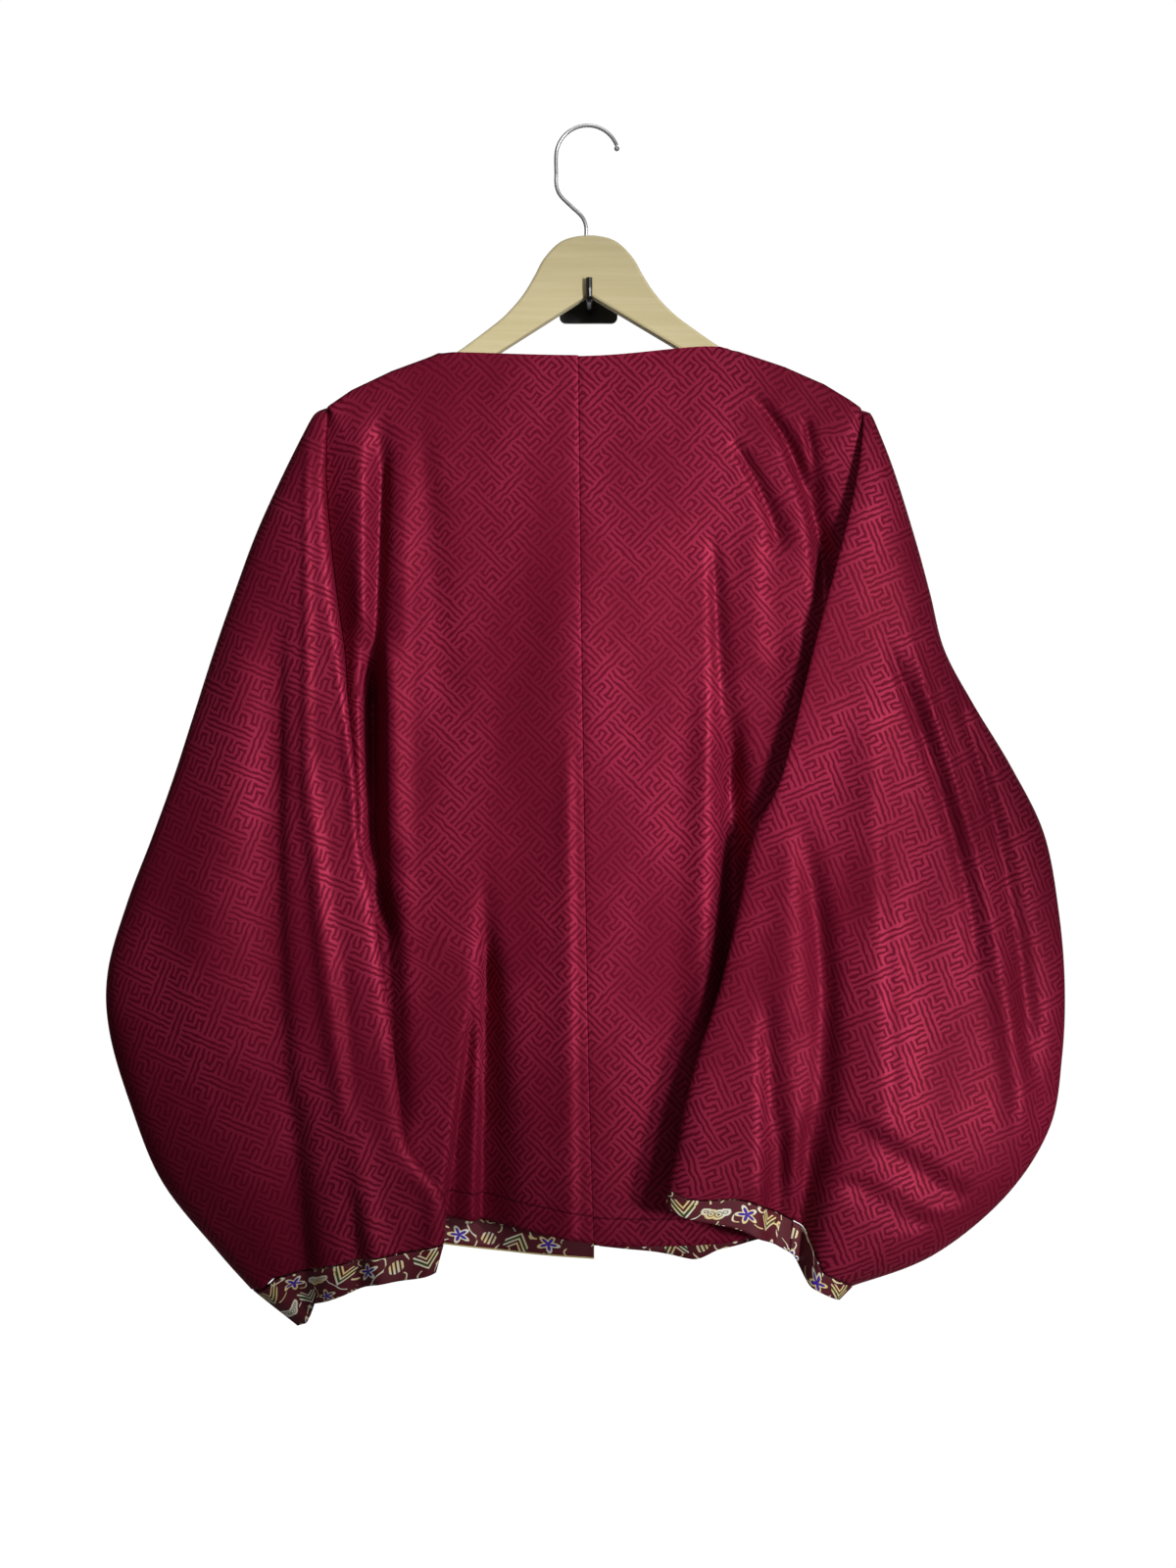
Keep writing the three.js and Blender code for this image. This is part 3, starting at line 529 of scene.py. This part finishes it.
def shell(name, grid, maps, thickness, lift=0.0):
    """A closed mesh: the grid's outer and inner skins and a rim, with UV maps given in millimetres."""
    normals = normals_of(grid)
    high, wide = grid.shape[:2]
    skins = [grid + normals * (lift + offset) for offset in (thickness / 2, -thickness / 2)]
    outer = np.arange(high * wide).reshape(high, wide)
    inner = outer + high * wide
    a, b, c, d = outer[:-1, :-1], outer[1:, :-1], outer[1:, 1:], outer[:-1, 1:]
    faces = [np.stack([a, b, c, d], -1).reshape(-1, 4)]
    faces.append(np.stack([a, d, c, b], -1).reshape(-1, 4) + high * wide)
    rims = [
        (outer[0, :-1], outer[0, 1:], inner[0, 1:], inner[0, :-1]),
        (outer[-1, 1:], outer[-1, :-1], inner[-1, :-1], inner[-1, 1:]),
        (outer[1:, 0], outer[:-1, 0], inner[:-1, 0], inner[1:, 0]),
        (outer[:-1, -1], outer[1:, -1], inner[1:, -1], inner[:-1, -1]),
    ]
    faces += [np.stack(rim, -1) for rim in rims]
    faces = np.concatenate(faces)
    points = np.concatenate([skin.reshape(-1, 3) for skin in skins]) * MM
    mesh = bpy.data.meshes.new(name)
    mesh.from_pydata(points.tolist(), [], faces.tolist())
    mesh.shade_smooth()
    for map_name, values in maps.items():
        layer = mesh.uv_layers.new(name=map_name)
        flat = np.concatenate([values.reshape(-1, 2)] * 2)
        layer.uv.foreach_set("vector", flat[faces.ravel()].astype(np.float32).ravel())
    piece = bpy.data.objects.new(name, mesh)
    bpy.context.collection.objects.link(piece)
    return piece


def lengths_along(grid, axis):
    """Lengths along the rows or columns of a grid from their first point."""
    step = np.linalg.norm(np.diff(grid, axis=axis), axis=-1)
    zero = np.zeros_like(np.take(step, [0], axis=axis))
    return np.concatenate([zero, np.cumsum(step, axis=axis)], axis=axis)


def turned(u, v, degrees):
    """Coordinates on cloth that has been turned anticlockwise by an angle."""
    a = math.radians(degrees)
    return u * math.cos(a) + v * math.sin(a), -u * math.sin(a) + v * math.cos(a)


def outward(grid, turn):
    """Rows run down and columns outwards, so one side is turned over to keep its faces outward."""
    return grid if turn > 0 else grid[:, ::-1]


# ---- node helpers
class Graph:
    """A material's node tree with short ways to add to it."""

    def __init__(self, name):
        self.material = bpy.data.materials.new(name)
        self.material.use_nodes = True
        self.tree = self.material.node_tree
        self.tree.nodes.clear()
        self.output = self.node("ShaderNodeOutputMaterial")

    def node(self, kind, **settings):
        made = self.tree.nodes.new(kind)
        for key, value in settings.items():
            setattr(made, key, value)
        return made

    def put(self, socket, value):
        if isinstance(value, bpy.types.NodeSocket):
            self.tree.links.new(value, socket)
        else:
            socket.default_value = value

    def math(self, operation, *values):
        made = self.node("ShaderNodeMath", operation=operation)
        for socket, value in zip(made.inputs, values):
            self.put(socket, value)
        return made.outputs[0]

    def vector(self, operation, *values):
        made = self.node("ShaderNodeVectorMath", operation=operation)
        for socket, value in zip(made.inputs, values):
            self.put(socket, value)
        return made.outputs["Value" if operation == "LENGTH" else "Vector"]

    def split(self, vector):
        made = self.node("ShaderNodeSeparateXYZ")
        self.put(made.inputs[0], vector)
        return made.outputs

    def join(self, x, y, z=0.0):
        made = self.node("ShaderNodeCombineXYZ")
        for socket, value in zip(made.inputs, (x, y, z)):
            self.put(socket, value)
        return made.outputs[0]

    def step(self, value, low, high, to_low=0.0, to_high=1.0):
        """A smooth step from to_low to to_high as value goes from low to high."""
        made = self.node("ShaderNodeMapRange", interpolation_type="SMOOTHSTEP")
        for socket, number in zip(made.inputs, (value, low, high, to_low, to_high)):
            self.put(socket, number)
        return made.outputs[0]

    def mix(self, share, a, b):
        made = self.node("ShaderNodeMix", data_type="RGBA")
        self.put(made.inputs[0], share)
        self.put(made.inputs[6], a)
        self.put(made.inputs[7], b)
        return made.outputs[2]

    def noise(self, vector, scale, detail=2.0, rough=0.5, distortion=0.0):
        made = self.node("ShaderNodeTexNoise")
        self.put(made.inputs["Vector"], vector)
        made.inputs["Scale"].default_value = scale
        made.inputs["Detail"].default_value = detail
        made.inputs["Roughness"].default_value = rough
        made.inputs["Distortion"].default_value = distortion
        return made.outputs["Fac"]

    def uv(self, name):
        return self.node("ShaderNodeUVMap", uv_map=name).outputs[0]

    def object_place(self):
        return self.node("ShaderNodeTexCoord").outputs["Object"]

    def bump(self, height, distance):
        made = self.node("ShaderNodeBump")
        made.inputs["Strength"].default_value = 1.0
        made.inputs["Distance"].default_value = distance
        self.put(made.inputs["Height"], height)
        return made.outputs[0]

    def finish(self, **sockets):
        shader = self.node("ShaderNodeBsdfPrincipled")
        for key, value in sockets.items():
            self.put(shader.inputs[key.replace("_", " ")], value)
        self.tree.links.new(shader.outputs[0], self.output.inputs[0])
        return self.material


# ---- the woven fret: one quarter of its repeat, in steps of one line and one gap.
# Each row is a line from one point to another, and the repeat is mirrored about 0 and FRET_HALF both ways.
FRET_STEP = 4.2  # mm
FRET_HALF = 6.0
FRET_LINE = 0.27  # half a line's width, in steps
FRET = table(
    "x0 y0 x1 y1",
    (0, 0, 5, 0), (0, 1, 4.74, 1), (1, 6, 6, 6), (1.26, 5, 6, 5),
    (0, 1, 0, 6), (1, 1.26, 1, 6), (6, 0, 6, 5), (5, 0, 5, 4.74),
    (1, 4, 3, 4), (3, 4, 3, 2), (3, 2, 5, 2),
    (2, 1, 2, 3), (4, 5, 4, 3),
)


def fret_distance(g, place):
    """Distance from the middle of the nearest woven line, in steps, below FRET_LINE on a line."""
    sides = g.split(place)
    x = g.math("MULTIPLY", g.math("ADD", sides[0], sides[1]), math.sqrt(0.5) / FRET_STEP)
    y = g.math("MULTIPLY", g.math("SUBTRACT", sides[0], sides[1]), math.sqrt(0.5) / FRET_STEP)
    spot = g.join(g.math("PINGPONG", y, FRET_HALF), g.math("PINGPONG", x, FRET_HALF))
    nearest = None
    for x0, y0, x1, y1 in zip(*(FRET[k] for k in ("x0", "y0", "x1", "y1"))):
        middle = ((x0 + x1) / 2, (y0 + y1) / 2, 0)
        half = (abs(x1 - x0) / 2, abs(y1 - y0) / 2, 1)
        away = g.vector("SUBTRACT", g.vector("ABSOLUTE", g.vector("SUBTRACT", spot, middle)), half)
        parts = g.split(away)
        far = g.math("MAXIMUM", parts[0], parts[1])
        nearest = far if nearest is None else g.math("MINIMUM", nearest, far)
    return nearest


DAMASK_GROUND = ((0.142, 0.0036, 0.018, 1), (0.120, 0.0032, 0.016, 1))
DAMASK_FRET = ((0.265, 0.0150, 0.046, 1), (0.320, 0.0210, 0.060, 1))
SLUB_SHADE = (0.06, 0.001, 0.010, 1)
STITCH_SHADE = (0.05, 0.001, 0.01, 1)
SATIN_TINT = (1.0, 0.25, 0.35, 1)
FRET_WANDER = 3.0  # mm by which the woven lines wander at most
FRET_EDGE = 0.1  # softness of a line's edge, in steps


def damask_material():
    """Crimson satin whose fret shines through in patches, with slubs and the stitching above the hem."""
    g = Graph("damask_satin")
    place = g.uv("weave")
    wander = g.node("ShaderNodeTexNoise", noise_dimensions="2D")
    g.put(wander.inputs["Vector"], g.vector("MULTIPLY", place, (0.03, 0.03, 0)))
    centred = g.vector("SUBTRACT", wander.outputs["Color"], (0.5, 0.5, 0.5))
    shift = g.vector("MULTIPLY", centred, (FRET_WANDER, FRET_WANDER, 0))
    distance = fret_distance(g, g.vector("ADD", place, shift))
    line = g.step(distance, FRET_LINE - FRET_EDGE, FRET_LINE + FRET_EDGE, 1.0, 0.0)
    patch = g.noise(g.vector("MULTIPLY", place, (0.012, 0.006, 0)), 1.0, 3.0)
    slub = g.noise(g.vector("MULTIPLY", place, (2.2, 0.10, 0)), 1.0, 2.0)
    shows = g.step(patch, 0.35, 0.65, 0.35, 1.0)
    ground = g.mix(patch, *DAMASK_GROUND)
    bright = g.mix(patch, *DAMASK_FRET)
    colour = g.mix(g.math("MULTIPLY", line, shows), ground, bright)
    colour = g.mix(g.math("MULTIPLY", slub, 0.22), colour, SLUB_SHADE)
    stitch = g.split(g.uv("trim"))
    hem = g.step(g.math("ABSOLUTE", g.math("SUBTRACT", stitch[1], HEM_LINE)), 0.4, 1.3, 1.0, 0.0)
    colour = g.mix(g.math("MULTIPLY", hem, 0.45), colour, STITCH_SHADE)
    rough = g.math("ADD", g.math("MULTIPLY", line, -0.10), g.step(slub, 0.2, 0.8, 0.54, 0.62))
    height = g.math("ADD", g.math("MULTIPLY", line, 0.7), g.math("MULTIPLY", slub, 0.5))
    height = g.math("SUBTRACT", height, g.math("MULTIPLY", hem, 4.0))
    return g.finish(
        Base_Color=colour,
        Roughness=rough,
        Normal=g.bump(height, 0.00012),
        Metallic=0.22,
        Specular_IOR_Level=0.2,
        Specular_Tint=SATIN_TINT,
    )


# ---- the printed cotton: outlined flowers, peaks, clouds and strokes scattered on crimson
PRINT_CELL = (24.0, 18.0)  # mm from motif to motif, along and across
CRIMSON = (0.11, 0.0035, 0.014, 1)
GOLD = (1.0, 0.80, 0.36, 1)
CREAM = (1.0, 0.97, 0.80, 1)
OLIVE = (0.055, 0.075, 0.008, 1)
VIOLET = (0.075, 0.020, 0.42, 1)
CLOUD_CURLS = ((-0.30, -0.04, 0.12), (-0.12, 0.07, 0.16), (0.12, 0.09, 0.17), (0.31, -0.03, 0.13))
STROKE_GAP = 0.15
MOTIF_TURN = 0.9  # radians over which the motifs are turned at random
PIPING = (1.0, 1.4)  # mm from the edge over which the gold piping ends
THREADS = 12.0  # radians of weave in one millimetre


def between(g, value, low, high):
    return g.math("MULTIPLY", g.math("GREATER_THAN", value, low), g.math("LESS_THAN", value, high))


def ring(g, distance, width):
    return g.step(g.math("ABSOLUTE", distance), width * 0.6, width * 1.4, 1.0, 0.0)


def flower_motif(g, x, y):
    """Five pointed petals: the inside and the outline."""
    radius = g.vector("LENGTH", g.join(x, y))
    petals = g.math("COSINE", g.math("MULTIPLY", g.math("ARCTAN2", y, x), 5.0))
    edge = g.math("SUBTRACT", radius, g.math("ADD", 0.24, g.math("MULTIPLY", petals, 0.11)))
    return g.math("LESS_THAN", edge, 0), ring(g, edge, 0.055)


def peak_motif(g, x, y):
    """A peak with an olive band between two gold lines, and a smaller one inside it."""
    slope = g.math("ADD", g.math("MULTIPLY", g.math("ABSOLUTE", x), 1.3), y)
    narrow = g.math("LESS_THAN", g.math("ABSOLUTE", x), 0.40)
    bounds = g.math("MULTIPLY", narrow, g.math("GREATER_THAN", y, -0.40))
    lines = [ring(g, g.math("SUBTRACT", slope, at), 0.050) for at in (0.36, 0.12, -0.10)]
    outline = g.math("MAXIMUM", g.math("MAXIMUM", lines[0], lines[1]), lines[2])
    return g.math("MULTIPLY", bounds, between(g, slope, 0.12, 0.36)), g.math("MULTIPLY", bounds, outline)


def cloud_motif(g, x, y):
    """Four curls over a flat foot, outlined twice."""
    nearest = None
    for cx, cy, r in CLOUD_CURLS:
        away = g.vector("LENGTH", g.vector("SUBTRACT", g.join(x, y), (cx, cy, 0)))
        curl = g.math("SUBTRACT", away, r)
        nearest = curl if nearest is None else g.math("MINIMUM", nearest, curl)
    edge = g.math("MAXIMUM", nearest, g.math("SUBTRACT", -0.12, y))
    inner = ring(g, g.math("ADD", edge, 0.10), 0.028)
    return g.math("LESS_THAN", edge, -0.10), g.math("MAXIMUM", ring(g, edge, 0.045), inner)


def stroke_motif(g, x, y):
    """Four leaning strokes."""
    lean = g.math("ADD", x, g.math("MULTIPLY", y, 0.5))
    strokes = g.math("SUBTRACT", g.math("PINGPONG", lean, STROKE_GAP / 2), STROKE_GAP / 2)
    bounds = g.math("LESS_THAN", g.vector("LENGTH", g.join(x, y)), 0.27)
    return g.math("MULTIPLY", bounds, ring(g, strokes, 0.040))


def print_material():
    """One motif in each cell of a staggered grid, fine wandering lines between them, and a piped edge."""
    g = Graph("printed_cotton")
    place = g.uv("weave")
    sides = g.split(place)
    rows = g.math("DIVIDE", sides[1], PRINT_CELL[1])
    row = g.math("FLOOR", rows)
    columns = g.math("ADD", g.math("DIVIDE", sides[0], PRINT_CELL[0]), g.math("MULTIPLY", row, 0.5))
    column = g.math("FLOOR", columns)
    chance = g.node("ShaderNodeTexWhiteNoise", noise_dimensions="2D")
    g.put(chance.inputs["Vector"], g.join(column, row))
    turn = g.node("ShaderNodeVectorRotate", rotation_type="Z_AXIS")
    x = g.math("SUBTRACT", g.math("SUBTRACT", columns, column), 0.5)
    y = g.math("SUBTRACT", g.math("SUBTRACT", rows, row), 0.5)
    g.put(turn.inputs["Vector"], g.join(x, y))
    spin = g.split(chance.outputs["Color"])[0]
    g.put(turn.inputs["Angle"], g.math("MULTIPLY", g.math("SUBTRACT", spin, 0.5), MOTIF_TURN))
    x, y, _ = g.split(turn.outputs[0])

    # the motifs take turns along a row, and start anew in each row
    pick = g.math("FRACT", g.math("ADD", g.math("MULTIPLY", column, 0.3), g.math("MULTIPLY", row, 0.37)))
    colour = CRIMSON
    outline = 0.0
    for (low, high), motif, fill in (
        ((0.0, 0.35), flower_motif, VIOLET),
        ((0.35, 0.65), peak_motif, OLIVE),
        ((0.65, 0.85), cloud_motif, OLIVE),
    ):
        here = between(g, pick, low, high)
        inside, edge = motif(g, x, y)
        colour = g.mix(g.math("MULTIPLY", here, inside), colour, fill)
        outline = g.math("MAXIMUM", outline, g.math("MULTIPLY", here, edge))
    strokes = g.math("MULTIPLY", between(g, pick, 0.85, 1.01), stroke_motif(g, x, y))
    drift = g.noise(g.vector("MULTIPLY", place, (0.05, 0.07, 0)), 1.0, 0.6, 0.3)
    clear = g.math("GREATER_THAN", g.vector("LENGTH", g.join(x, y)), 0.42)
    wander = g.math("MULTIPLY", ring(g, g.math("SUBTRACT", drift, 0.5), 0.014), clear)
    outline = g.math("MAXIMUM", outline, g.math("MAXIMUM", strokes, wander))

    rub = g.noise(g.vector("MULTIPLY", place, (0.9, 0.9, 0)), 1.0, 2.0)
    ink = g.mix(g.step(g.noise(g.vector("MULTIPLY", place, (0.05, 0.05, 0)), 1.0), 0.4, 0.6), GOLD, CREAM)
    colour = g.mix(g.math("MULTIPLY", outline, g.step(rub, 0.1, 0.5, 0.7, 1.0)), colour, ink)
    piping = g.step(g.split(g.uv("trim"))[1], *PIPING, 1.0, 0.0)
    colour = g.mix(piping, colour, GOLD)
    warp, weft = (g.math("SINE", g.math("MULTIPLY", sides[i], THREADS)) for i in (0, 1))
    threads = g.math("ADD", warp, weft)
    height = g.math("ADD", g.math("MULTIPLY", threads, 0.3), g.math("MULTIPLY", outline, 0.6))
    rough = g.step(outline, 0.0, 1.0, 0.62, 0.36)
    normal = g.bump(height, 0.00006)
    return g.finish(Base_Color=colour, Roughness=rough, Normal=normal, Specular_IOR_Level=0.4)


BEECH = ((0.66, 0.56, 0.305, 1), (0.72, 0.62, 0.36, 1))
BEECH_FLECK = (0.36, 0.26, 0.12, 1)
STEEL = ((0.72, 0.72, 0.73, 1), (0.86, 0.86, 0.86, 1))
BLACK = ((0.006, 0.006, 0.008, 1), (0.022, 0.022, 0.025, 1))


def beech_material():
    """Long soft grain along the board with short dark flecks."""
    g = Graph("pale_beech")
    place = g.object_place()
    long_grain = g.noise(g.vector("MULTIPLY", place, (9.0, 60.0, 220.0)), 1.0, 4.0, 0.6, 0.4)
    flecks = g.noise(g.vector("MULTIPLY", place, (160.0, 300.0, 1500.0)), 1.0, 2.0)
    colour = g.mix(g.step(long_grain, 0.3, 0.7), *BEECH)
    colour = g.mix(g.step(flecks, 0.62, 0.75, 0.0, 0.18), colour, BEECH_FLECK)
    rough = g.step(long_grain, 0.2, 0.8, 0.55, 0.68)
    height = g.math("ADD", long_grain, g.math("MULTIPLY", flecks, 0.4))
    normal = g.bump(height, 0.00008)
    return g.finish(Base_Color=colour, Roughness=rough, Normal=normal, Specular_IOR_Level=0.35)


def steel_material():
    """Wire that is a little worn, so that its shine is uneven."""
    g = Graph("bright_steel")
    place = g.object_place()
    worn = g.noise(g.vector("MULTIPLY", place, (300.0, 300.0, 90.0)), 1.0, 3.0)
    colour = g.mix(worn, *STEEL)
    rough = g.step(worn, 0.3, 0.7, 0.34, 0.44)
    return g.finish(Base_Color=colour, Roughness=rough, Metallic=0.9, Normal=g.bump(worn, 0.000005))


def black_material():
    """Satin black coating with a fine grain."""
    g = Graph("black_coating")
    place = g.object_place()
    grain = g.noise(g.vector("MULTIPLY", place, (700.0, 700.0, 700.0)), 1.0, 2.0)
    wear = g.noise(g.vector("MULTIPLY", place, (70.0, 70.0, 70.0)), 1.0, 3.0)
    colour = g.mix(g.step(wear, 0.5, 0.8, 0.0, 1.0), *BLACK)
    rough = g.step(wear, 0.3, 0.7, 0.26, 0.42)
    return g.finish(Base_Color=colour, Roughness=rough, Normal=g.bump(grain, 0.00003))


MATERIALS = {
    "damask": damask_material(),
    "print": print_material(),
    "beech": beech_material(),
    "steel": steel_material(),
    "black_paint": black_material(),
}


# ---- the cloth pieces
NO_HEM = 500.0  # stands for a height at which a damask piece has no stitched hem
NO_PIPING = 50.0  # stands for a distance at which a printed piece has no piping
PIPED_FACING = "left"
CUFF_PRINT_SHIFT = 7.0  # mm by which the print of a cuff starts late
SLEEVE_SECTIONS = {  # the section, its columns, and the column from which the weave is measured
    "back": (sleeve_near, np.concatenate([np.linspace(0, 1, 26)[:-1], 1 + np.linspace(0, 1, 96)]), 70),
    "front": (sleeve_far, np.concatenate([np.linspace(0, 1, 46)[:-1], 1 + np.linspace(0, 1, 30)]), 30),
}


def add_cloth(node, slot, grid, maps, turn, lift=0.0):
    maps = {name: outward(np.stack(values, -1), turn) for name, values in maps.items()}
    piece = shell("cloth_" + node, outward(grid, turn), maps, THICKNESS[slot], lift)
    piece.data.materials.append(MATERIALS[slot])
    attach(piece, "root")
    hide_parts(node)


def add_panel(side, face):
    """A back or front, whose weave follows the shoulder above and hangs straight below."""
    body, sign = BODIES[side], SIDES[side]
    grid = body_grid(side, face)
    x, z = np.abs(grid[..., 0]), grid[..., 2]
    slope = shoulder_z(body, np.maximum(x, body["neckX"])) - shoulder_z(body, body["neckX"])
    weave = (lengths_along(grid * (1, 1, 0), 1) * sign, z - slope * (1 - smooth(60, 520, -z)))
    down = lengths_along(grid, 0)
    trim = (lengths_along(grid, 1), down[-1:] - down)
    turn = sign if face == "back" else -sign
    add_cloth(f"{face}_{side}", "damask", grid, {"weave": weave, "trim": trim}, turn)


def add_sleeve_wall(side, face):
    """One wall of a sleeve, with the weave turned as the sleeve hangs."""
    section, columns, start = SLEEVE_SECTIONS[face]
    grid = sleeve_grid(side, section, columns)
    u = lengths_along(grid * (1, 1, 0), 1)
    u = SIDES[side] * (u - u[:, start : start + 1]) + grid[:, start : start + 1, 0]
    no_trim = np.full(u.shape, NO_HEM)
    maps = {"weave": turned(u, grid[..., 2], SLEEVES[side]["turn"]), "trim": (no_trim, no_trim)}
    add_cloth(f"sleeve_{side}_{face}", "damask", grid, maps, SIDES[side])


def add_cuff_half(side, face):
    section, columns, _ = SLEEVE_SECTIONS[face]
    grid = cuff_grid(side, section, columns)
    along = lengths_along(grid, 1)
    below = lengths_along(grid, 0)
    maps = {"weave": (along + CUFF_PRINT_SHIFT, below), "trim": (along, np.full(along.shape, NO_PIPING))}
    add_cloth(f"cuff_{side}_{face}", "print", grid, maps, SIDES[side])


def add_hem_facing(side):
    """The printed facing lies on the inside of the front along its hem."""
    front = body_grid(side, "front")
    down = lengths_along(front, 0)
    height = down[-1:] - down
    first = int(np.argmax(height[:, 0] < FACING_HEIGHT))
    grid = front[first:, :-FACING_ENDS]
    height = height[first:, :-FACING_ENDS]
    along = lengths_along(grid, 1)
    piping = height if side == PIPED_FACING else np.full(height.shape, NO_PIPING)
    maps = {"weave": (along, height), "trim": (along, piping)}
    lift = SOLID_CLOTH / 2 + SEAM + SOLID_PRINT / 2
    add_cloth(f"hem_facing_{side}", "print", grid, maps, SIDES[side], lift)


for side in SIDES:
    add_panel(side, "back")
    add_panel(side, "front")
    for face in SLEEVE_SECTIONS:
        add_sleeve_wall(side, face)
        add_cuff_half(side, face)
    add_hem_facing(side)

# ---- the hard pieces keep their solids
for node, slot in {
    "hanger_board": "beech",
    "hanger_hook": "steel",
    "hanger_hook_bead": "steel",
    "wall_hook_plate": "black_paint",
    "wall_hook_peg": "black_paint",
}.items():
    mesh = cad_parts[node].data
    mesh.materials.clear()
    mesh.materials.append(MATERIALS[slot])

# ---- camera: level, about 1.8 m in front of the back of the jacket
CAMERA_PLACE = (-0.0004, -1.825, -0.392)
SENSOR_WIDTH = 36.0  # mm, along the picture's longer side
VIEW_DISTANCE = 1.8  # m from the camera to the jacket's back
VIEW_HEIGHT = 1.2308  # m that the picture's longer side takes in there

camera_data = bpy.data.cameras.new("camera")
camera = bpy.data.objects.new("camera", camera_data)
bpy.context.collection.objects.link(camera)
camera.location = CAMERA_PLACE
camera.rotation_euler = (math.radians(90), 0, 0)
camera_data.sensor_width = SENSOR_WIDTH
camera_data.lens = SENSOR_WIDTH * VIEW_DISTANCE / VIEW_HEIGHT
bpy.context.scene.camera = camera

# ---- studio: a white backdrop, soft lamps and a pale floor below the view
FLOOR_X, FLOOR_Y, FLOOR_Z = (-1.2, 1.2), (-1.25, 0.85), -1.35
FLOOR_GREY = ((0.80, 0.80, 0.80, 1), (0.86, 0.86, 0.86, 1))
BACKDROP = {"From Min": 0.78, "From Max": 0.9, "To Min": 0.0, "To Max": 1.0}  # by the way a ray goes, +Y
ROOM = {"From Min": -0.5, "From Max": 0.8, "To Min": 0.015, "To Max": 0.13}  # dim below, lighter above
BACKDROP_LIGHT = 1.02


def add_floor():
    mesh = bpy.data.meshes.new("floor")
    corners = [(FLOOR_X[i], FLOOR_Y[j], FLOOR_Z) for i, j in ((0, 0), (1, 0), (1, 1), (0, 1))]
    mesh.from_pydata(corners, [], [(0, 1, 2, 3)])
    floor = bpy.data.objects.new("floor", mesh)
    bpy.context.collection.objects.link(floor)
    g = Graph("pale_floor")
    speckle = g.noise(g.object_place(), 30.0)
    mesh.materials.append(g.finish(Base_Color=g.mix(speckle, *FLOOR_GREY), Roughness=0.7))


def light_room():
    """White straight behind the jacket, and elsewhere a dim room that is lighter above."""
    world = bpy.data.worlds.new("studio")
    world.use_nodes = True
    bpy.context.scene.world = world
    tree = world.node_tree
    place = tree.nodes.new("ShaderNodeTexCoord")
    parts = tree.nodes.new("ShaderNodeSeparateXYZ")
    tree.links.new(place.outputs["Generated"], parts.inputs[0])
    backdrop = tree.nodes.new("ShaderNodeMapRange")
    backdrop.interpolation_type = "SMOOTHSTEP"
    room = tree.nodes.new("ShaderNodeMapRange")
    for node, values, direction in ((backdrop, BACKDROP, parts.outputs[1]), (room, ROOM, parts.outputs[2])):
        for key, value in values.items():
            node.inputs[key].default_value = value
        tree.links.new(direction, node.inputs["Value"])
    blend = tree.nodes.new("ShaderNodeMix")
    tree.links.new(backdrop.outputs[0], blend.inputs[0])
    tree.links.new(room.outputs[0], blend.inputs[2])
    blend.inputs[3].default_value = BACKDROP_LIGHT
    background = tree.nodes["Background"]
    tree.links.new(blend.outputs[0], background.inputs["Strength"])
    background.inputs["Color"].default_value = (1, 1, 1, 1)


def lamp(name, kind, place, aim, power):
    data = bpy.data.lights.new(name, kind)
    data.energy = power
    made = bpy.data.objects.new(name, data)
    made.location = place
    made.rotation_euler = (Vector(aim) - Vector(place)).to_track_quat("-Z", "Y").to_euler()
    bpy.context.collection.objects.link(made)
    return data


def panel(name, place, aim, power, size):
    data = lamp(name, "AREA", place, aim, power)
    data.shape = "RECTANGLE"
    data.size, data.size_y = size


def spot(name, place, aim, power, angle, radius):
    data = lamp(name, "SPOT", place, aim, power)
    data.spot_size = math.radians(angle)
    data.spot_blend = 1.0
    data.shadow_soft_size = radius


add_floor()
light_room()
BACK = (-0.19, -0.06, -0.31)
RIGHT_SLEEVE = (0.27, -0.07, -0.65)
MIDDLE = (0.0, -0.05, -0.4)
spot("key", (0.76, -1.05, -0.06), BACK, 74, 47, 0.10)
spot("sleeve_light", (0.95, -0.95, -0.72), RIGHT_SLEEVE, 46, 31, 0.10)
spot("middle_light", (0.6, -1.2, 0.0), BACK, 9, 32, 0.14)
panel("fill", (-0.6, -2.2, 0.1), MIDDLE, 1.2, (1.2, 1.2))
panel("top", (0.1, -0.8, 1.2), MIDDLE, 4, (1.2, 0.6))
bpy.context.scene.view_settings.view_transform = "Standard"
